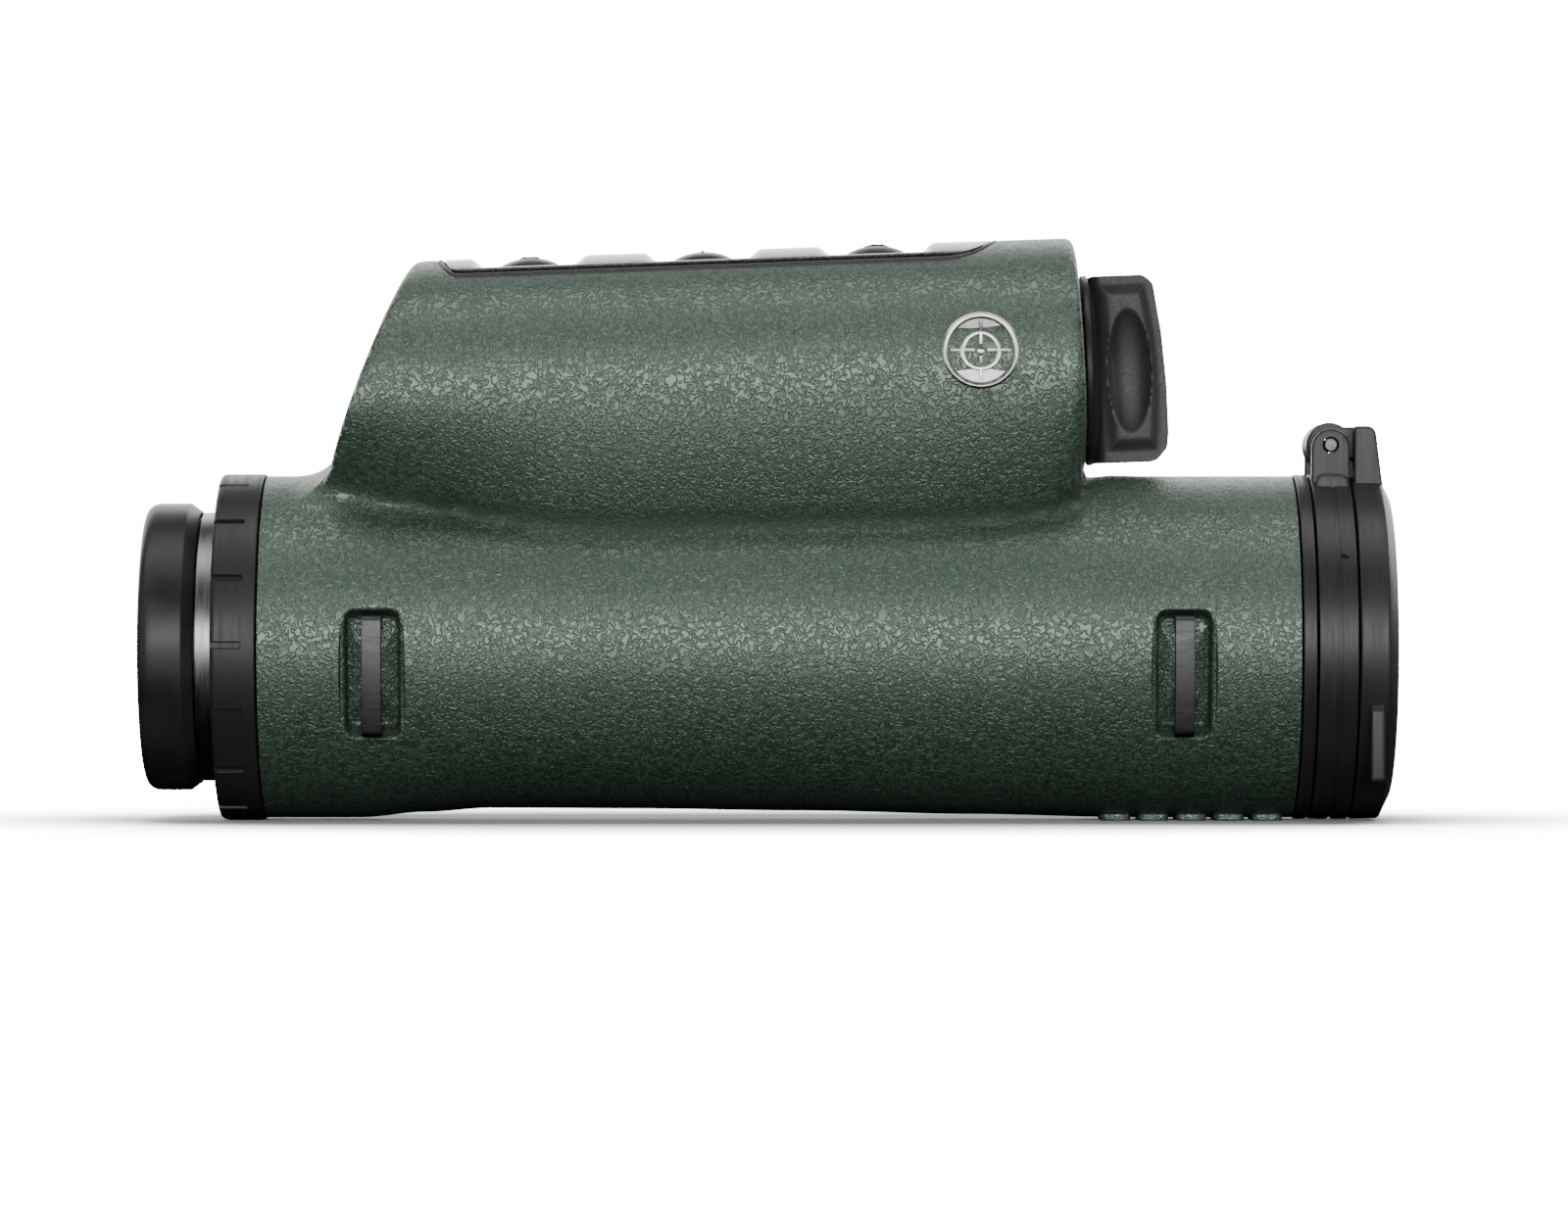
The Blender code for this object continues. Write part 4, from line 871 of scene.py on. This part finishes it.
class Nodes:
    """A small helper that wires a material's nodes."""

    def __init__(self, name):
        self.material = bpy.data.materials.new(name)
        self.material.use_nodes = True
        self.tree = self.material.node_tree
        self.shader = self.tree.nodes["Principled BSDF"]
        self.where = self.add("ShaderNodeTexCoord").outputs["Object"]

    def add(self, kind, **values):
        """A new node with its properties and sockets set by name."""
        node = self.tree.nodes.new(kind)
        for key, value in values.items():
            if hasattr(node, key):
                setattr(node, key, value)
            else:
                node.inputs[key.replace("_", " ")].default_value = value
        return node

    def link(self, start, end):
        self.tree.links.new(start, end)

    def noise(self, scale, detail=2.0, rough=0.5, stretch=None, distortion=0.0):
        node = self.add("ShaderNodeTexNoise", Scale=scale, Detail=detail, Roughness=rough,
                        Distortion=distortion)
        self.link(self.stretched(stretch), node.inputs["Vector"])
        return node.outputs["Fac"]

    def stretched(self, stretch):
        if not stretch:
            return self.where
        node = self.add("ShaderNodeMapping")
        node.inputs["Scale"].default_value = stretch
        self.link(self.where, node.inputs["Vector"])
        return node.outputs["Vector"]

    def voronoi(self, scale, feature="F1", randomness=1.0):
        node = self.add("ShaderNodeTexVoronoi", feature=feature, Scale=scale, Randomness=randomness)
        self.link(self.where, node.inputs["Vector"])
        return node.outputs["Distance"]

    def ramp(self, value, low, high, start=0.0, end=1.0):
        node = self.add("ShaderNodeMapRange", interpolation_type="SMOOTHSTEP", From_Min=low,
                        From_Max=high, To_Min=start, To_Max=end)
        self.link(value, node.inputs["Value"])
        return node.outputs["Result"]

    def math(self, operation, a, b):
        node = self.add("ShaderNodeMath", operation=operation)
        for socket, value in zip(node.inputs, (a, b)):
            if isinstance(value, (int, float)):
                socket.default_value = value
            else:
                self.link(value, socket)
        return node.outputs[0]

    def colors(self, factor, low, high):
        node = self.add("ShaderNodeMix", data_type="RGBA")
        node.inputs[6].default_value = (*low, 1)
        node.inputs[7].default_value = (*high, 1)
        self.link(factor, node.inputs["Factor"])
        self.link(node.outputs[2], self.shader.inputs["Base Color"])
        return node

    def bump(self, height, strength, distance, previous=None):
        node = self.add("ShaderNodeBump", Strength=strength, Distance=distance * MM)
        self.link(height, node.inputs["Height"])
        if previous:
            self.link(previous, node.inputs["Normal"])
        self.link(node.outputs["Normal"], self.shader.inputs["Normal"])
        return node.outputs["Normal"]

    def set(self, **values):
        for key, value in values.items():
            self.shader.inputs[key.replace("_", " ")].default_value = value


def grained_rubber():
    """Green armour rubber with a fine leathery grain of short crooked wrinkles, and painted shade along the
    crease between the tube and the upper body.
    """
    n = Nodes("green_armour")
    worm = n.noise(1120, 1.5, 0.5, None, 0.8)
    ridge = n.math("ABSOLUTE", n.math("SUBTRACT", worm, 0.5), 0)
    creases = n.ramp(ridge, 0.0, 0.12)
    # painted shade: the crease attribute darkens the colour and raises the roughness along the crease
    shade = n.add("ShaderNodeAttribute", attribute_name="crease").outputs["Fac"]
    tone = n.math("ADD", n.math("MULTIPLY", creases, 0.8), n.math("MULTIPLY", n.noise(45, 3.0), 0.2))
    n.colors(n.math("SUBTRACT", tone, shade), (0.0085, 0.0170, 0.0110), (0.034, 0.063, 0.044))
    gloss = n.ramp(creases, 0.0, 1.0, 0.48, 0.39)
    n.link(n.math("ADD", gloss, n.math("MULTIPLY", shade, 0.35)), n.shader.inputs["Roughness"])
    fine = n.bump(n.noise(3800, 2.0), 0.15, 0.04)
    n.bump(creases, 1.0, 0.075, fine)
    n.set(Specular_IOR_Level=1.0)
    n.shader.inputs["Specular Tint"].default_value = (0.86, 1.0, 0.9, 1)
    return n.material


def black_rubber(name="black_rubber", tone=0.018, rough=0.5):
    n = Nodes(name)
    speck = n.noise(1500, 3.0, 0.6)
    cloud = n.noise(120, 3.0)
    n.colors(n.ramp(cloud, 0.3, 0.7), (tone * 0.8,) * 3, (tone * 1.25, tone * 1.25, tone * 1.28))
    n.link(n.ramp(cloud, 0.3, 0.75, rough - 0.05, rough + 0.07), n.shader.inputs["Roughness"])
    n.bump(speck, 0.16, 0.03)
    n.set(Specular_IOR_Level=0.3)
    return n.material


def moulded_plastic(name, tone, rough, relief=0.2):
    """Moulded plastic with a fine spark-eroded texture."""
    n = Nodes(name)
    spark = n.math("ADD", n.noise(2600, 3.0, 0.65), n.math("MULTIPLY", n.voronoi(2100), 0.5))
    cloud = n.noise(90, 2.0)
    n.colors(n.ramp(cloud, 0.3, 0.7), (tone * 0.85,) * 3, (tone * 1.15,) * 3)
    n.link(n.ramp(spark, 0.4, 1.1, rough + 0.05, rough - 0.06), n.shader.inputs["Roughness"])
    n.bump(spark, relief, 0.03)
    n.set(Specular_IOR_Level=0.32)
    return n.material


def anodised(name, tone, rough=0.42, tint=(1.0, 1.0, 1.02)):
    """Satin black anodised metal with a faint turned grain along its rim."""
    n = Nodes(name)
    turned_grain = n.noise(700, 3.0, 0.6, (3.2, 0.12, 0.12))
    cloud = n.noise(70, 3.0)
    low = tuple(tone * 0.85 * t for t in tint)
    high = tuple(tone * 1.2 * t for t in tint)
    n.colors(n.ramp(cloud, 0.3, 0.7), low, high)
    n.link(n.ramp(turned_grain, 0.25, 0.75, rough - 0.06, rough + 0.07), n.shader.inputs["Roughness"])
    n.bump(n.math("ADD", turned_grain, n.math("MULTIPLY", n.noise(2400, 2.0), 0.6)), 0.07, 0.02)
    n.set(Metallic=0.0, Specular_IOR_Level=0.3, Coat_Weight=0.03, Coat_Roughness=0.3)
    return n.material


def bare_metal(name, color, rough, stretch=(1, 1, 1), strength=0.06):
    n = Nodes(name)
    grain = n.noise(900, 3.0, 0.6, stretch)
    cloud = n.noise(110, 2.0)
    n.colors(n.ramp(cloud, 0.25, 0.75), tuple(c * 0.82 for c in color), color)
    n.link(n.ramp(grain, 0.25, 0.75, rough - 0.05, rough + 0.08), n.shader.inputs["Roughness"])
    n.bump(grain, strength, 0.02)
    n.set(Metallic=1.0)
    return n.material


def coated_glass():
    n = Nodes("coated_glass")
    film = n.noise(25, 2.0)
    n.colors(n.ramp(film, 0.3, 0.7), (0.80, 0.90, 0.92), (0.88, 0.92, 0.98))
    n.link(n.ramp(n.noise(300, 3.0), 0.3, 0.8, 0.0, 0.035), n.shader.inputs["Roughness"])
    n.set(Transmission_Weight=0.9, IOR=1.52, Coat_Weight=0.4, Coat_Roughness=0.03)
    n.shader.inputs["Coat Tint"].default_value = (0.6, 0.75, 1.0, 1)
    return n.material


def circuit_board():
    n = Nodes("board_mask")
    tracks = n.ramp(n.voronoi(420, "DISTANCE_TO_EDGE", 0.6), 0.05, 0.1)
    n.colors(tracks, (0.03, 0.2, 0.07), (0.008, 0.085, 0.035))
    n.link(n.ramp(n.noise(500, 2.0), 0.3, 0.7, 0.3, 0.42), n.shader.inputs["Roughness"])
    n.bump(tracks, 0.15, 0.03)
    return n.material


def shrink_wrap():
    n = Nodes("wrap_film")
    n.colors(n.ramp(n.noise(60, 3.0), 0.3, 0.7), (0.018, 0.05, 0.16), (0.03, 0.08, 0.24))
    n.link(n.ramp(n.noise(240, 2.0), 0.3, 0.7, 0.24, 0.36), n.shader.inputs["Roughness"])
    n.bump(n.noise(160, 2.0, 0.5, (0.3, 1, 1)), 0.1, 0.05)
    return n.material


def make_materials():
    """One finish for each slot, and a few more for pieces with a look of their own."""
    return {
        "green_rubber": grained_rubber(),
        "black_rubber": black_rubber(),
        "eyecup": black_rubber("eyecup_rubber", 0.012, 0.42),
        "key": black_rubber("key_rubber", 0.02, 0.4),
        "black_plastic": moulded_plastic("panel_plastic", 0.005, 0.16, 0.04),
        "cap": moulded_plastic("cap_plastic", 0.013, 0.46),
        "inner_plastic": moulded_plastic("inner_plastic", 0.03, 0.5),
        "sleeve_plastic": moulded_plastic("sleeve_plastic", 0.05, 0.5),
        "black_metal": anodised("black_anodise", 0.013),
        "diopter": anodised("diopter_anodise", 0.012, 0.46),
        "lid": anodised("lid_anodise", 0.014, 0.42),
        "chassis_metal": bare_metal("cast_chassis", (0.42, 0.42, 0.43), 0.5, (1, 1, 1), 0.15),
        "silver_metal": bare_metal("satin_silver", (0.2, 0.2, 0.2), 0.34, (4, 0.2, 0.2)),
        "pin": bare_metal("pin_steel", (0.1, 0.1, 0.1), 0.42),
        "badge": bare_metal("cast_silver", (0.42, 0.42, 0.41), 0.3),
        "gunmetal": bare_metal("gunmetal", (0.06, 0.06, 0.062), 0.44, (0.4, 0.4, 2)),
        "contact_brass": bare_metal("contact_brass", (0.78, 0.57, 0.25), 0.28),
        "optical_glass": coated_glass(),
        "circuit_board": circuit_board(),
        "cell_wrap": shrink_wrap(),
    }


# -------- putting it together

def fit(piece, node, material, body=BODY):
    """Give a piece its finish, its body and the CAD node that it stands for."""
    piece.data.materials.clear()
    piece.data.materials.append(material)
    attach(piece, body)
    if node:
        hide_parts(node)
    return piece


GUIDE_BORE, GUIDE_R = 17.5, 18.85
LENSES = [("ocular", "eye_lens", 15.35, 0.9), ("front_glass", "objective_lens", 16.05, 1.6)]


def build_pieces(finish):
    """Every piece that has a finer shape than its CAD node."""
    fit(make_armour(), "armour", finish["green_rubber"])
    for index, x in enumerate(FOOT_X):
        fit(make_foot(index + 1, x), None, finish["green_rubber"])
    fit(make_panel(), "control_panel", finish["black_plastic"])
    fit(make_seal(), "panel_seal", finish["black_rubber"])
    for name, x in zip(BUTTON_NAMES, BUTTON_X):
        node = "button_" + name
        fit(make_button(name, x), node, finish["key"], node)
    fit(make_cap(), "battery_cap", finish["cap"], "battery_cap")
    fit(make_diopter(), "diopter_ring", finish["diopter"], "diopter")
    fit(make_eyecup(), "eyecup", finish["eyecup"], "eyecup")
    low, high = edge("eyecup_guide", 0, False), edge("eyecup_guide", 0, True)
    guide = ring("eyecup_sleeve", low, high, GUIDE_BORE, GUIDE_R)
    fit(guide, "eyecup_guide", finish["inner_plastic"], "eyecup_guide")
    fit(make_barrel(), "eyepiece_barrel", finish["silver_metal"])
    for name, node, radius, bulge in LENSES:
        fit(make_lens(name, node, radius, bulge), node, finish["optical_glass"])
    low, high = edge("bezel_ring", 0, False), edge("bezel_ring", 0, True)
    bezel = ring("bezel", low, high, MOUTH_R, RING_R, 0.25, FINE_TURNS)
    fit(bezel, "bezel_ring", finish["black_metal"])
    fit(make_clamp(), "lid_clamp_ring", finish["black_metal"])
    fit(make_pin(), "hinge_pin", finish["pin"])
    fit(make_lid(), "lens_lid", finish["lid"], "lid")
    for side, hand in ((-1, "near"), (1, "far")):
        for x, end in zip(LUG_X, ("rear", "front")):
            node = "strap_lug_%s_%s" % (end, hand)
            lug = make_lug("lug_%s_%s" % (end, hand), side, x)
            fit(lug, node, finish["gunmetal"])
    fit(make_badge(), "side_badge", finish["badge"])


def dress_inner_nodes(finish):
    """CAD nodes that stay as they are get their slot's finish."""
    slots = {entry["node"]: entry["material_slot"] for entry in frame["record"]["subparts"]}
    for name, obj in frame["nodes"].items():
        slot = slots[name]
        key = "inner_plastic" if slot == "black_plastic" else slot
        obj.data.materials.clear()
        obj.data.materials.append(finish[key])


# -------- camera, floor and light

CAMERA_PLACE = (2.43, -1044.0, 31.57)
CAMERA_LENS = 164.4
WHITE = 17.0
FLOOR_SHADE_REACH, FLOOR_SHADE_POWER = 60.0, 7.0
LIGHTS = [("front_strip", (0.0, -1.3, 0.22), (0, 0, 0.04), (1.7, 0.42), 25.0),
          ("overhead", (0.0, -0.12, 0.95), (0, 0, 0.05), (2.0, 0.45), 11.0),
          ("back_glow", (0.0, 1.2, 0.5), (0, 0, 0.06), (2.6, 0.92), 32.0),
          ("left_end", (-1.1, -0.3, 0.2), (-0.08, 0, 0.04), (0.5, 0.6), 1.5),
          ("right_end", (1.1, -0.3, 0.2), (0.08, 0, 0.04), (0.5, 0.6), 1.5)]


def add_camera():
    data = bpy.data.cameras.new("camera")
    data.lens = CAMERA_LENS
    data.sensor_width = 36.0
    data.clip_start = 0.05
    data.clip_end = 60.0
    camera = bpy.data.objects.new("camera", data)
    bpy.context.collection.objects.link(camera)
    camera.location = Vector(CAMERA_PLACE) * MM
    camera.rotation_euler = (math.radians(90), 0, 0)
    bpy.context.scene.camera = camera


def add_light(name, place, target, size, power):
    """A rectangular light at a place, in metres, aimed at a target."""
    data = bpy.data.lights.new(name, "AREA")
    data.shape = "RECTANGLE"
    data.size, data.size_y = size
    data.energy = power
    light = bpy.data.objects.new(name, data)
    bpy.context.collection.objects.link(light)
    light.location = place
    aim = Vector(target) - Vector(place)
    light.rotation_euler = aim.to_track_quat("-Z", "Y").to_euler()
    return light


def floor_material():
    """Pale studio floor that glows to the background's white, with a painted shadow: its glow fades where
    ambient occlusion finds the object close by.
    """
    n = Nodes("pale_floor")
    # painted shadow: ambient occlusion dims the floor's glow near the object
    corner = n.add("ShaderNodeAmbientOcclusion", samples=24)
    corner.inputs["Distance"].default_value = FLOOR_SHADE_REACH * MM
    painted_shadow_fade = n.math("POWER", corner.outputs["AO"], FLOOR_SHADE_POWER)
    under = n.ramp(corner.outputs["AO"], 0.4, 0.68)
    glow = n.math("MULTIPLY", n.math("MULTIPLY", painted_shadow_fade, under), WHITE)
    n.link(glow, n.shader.inputs["Emission Strength"])
    n.shader.inputs["Emission Color"].default_value = (1, 1, 1, 1)
    n.shader.inputs["Base Color"].default_value = (0.8, 0.8, 0.8, 1)
    n.set(Roughness=0.9, Specular_IOR_Level=0.1)
    return n.material


def add_floor():
    """A wide pale floor; it takes the lamps' shadow and a painted shadow from its dimmed glow, and throws
    no light back on the object.
    """
    bpy.ops.mesh.primitive_grid_add(x_subdivisions=8, y_subdivisions=8, size=40)
    floor = bpy.context.active_object
    floor.name = "studio_floor"
    floor.location.z = -0.02 * MM
    floor.data.materials.append(floor_material())
    floor.visible_diffuse = False
    floor.visible_glossy = False


def add_world():
    world = bpy.data.worlds.new("studio")
    bpy.context.scene.world = world
    world.use_nodes = True
    back = world.node_tree.nodes["Background"]
    back.inputs["Color"].default_value = (1, 1, 1, 1)
    back.inputs["Strength"].default_value = WHITE
    world.cycles_visibility.diffuse = False
    world.cycles_visibility.glossy = False


def add_studio():
    add_camera()
    add_floor()
    add_world()
    for light in LIGHTS:
        add_light(*light)
    bpy.data.objects["back_glow"].visible_camera = False


finish = make_materials()
build_pieces(finish)
dress_inner_nodes(finish)
add_studio()
bpy.context.view_layer.update()
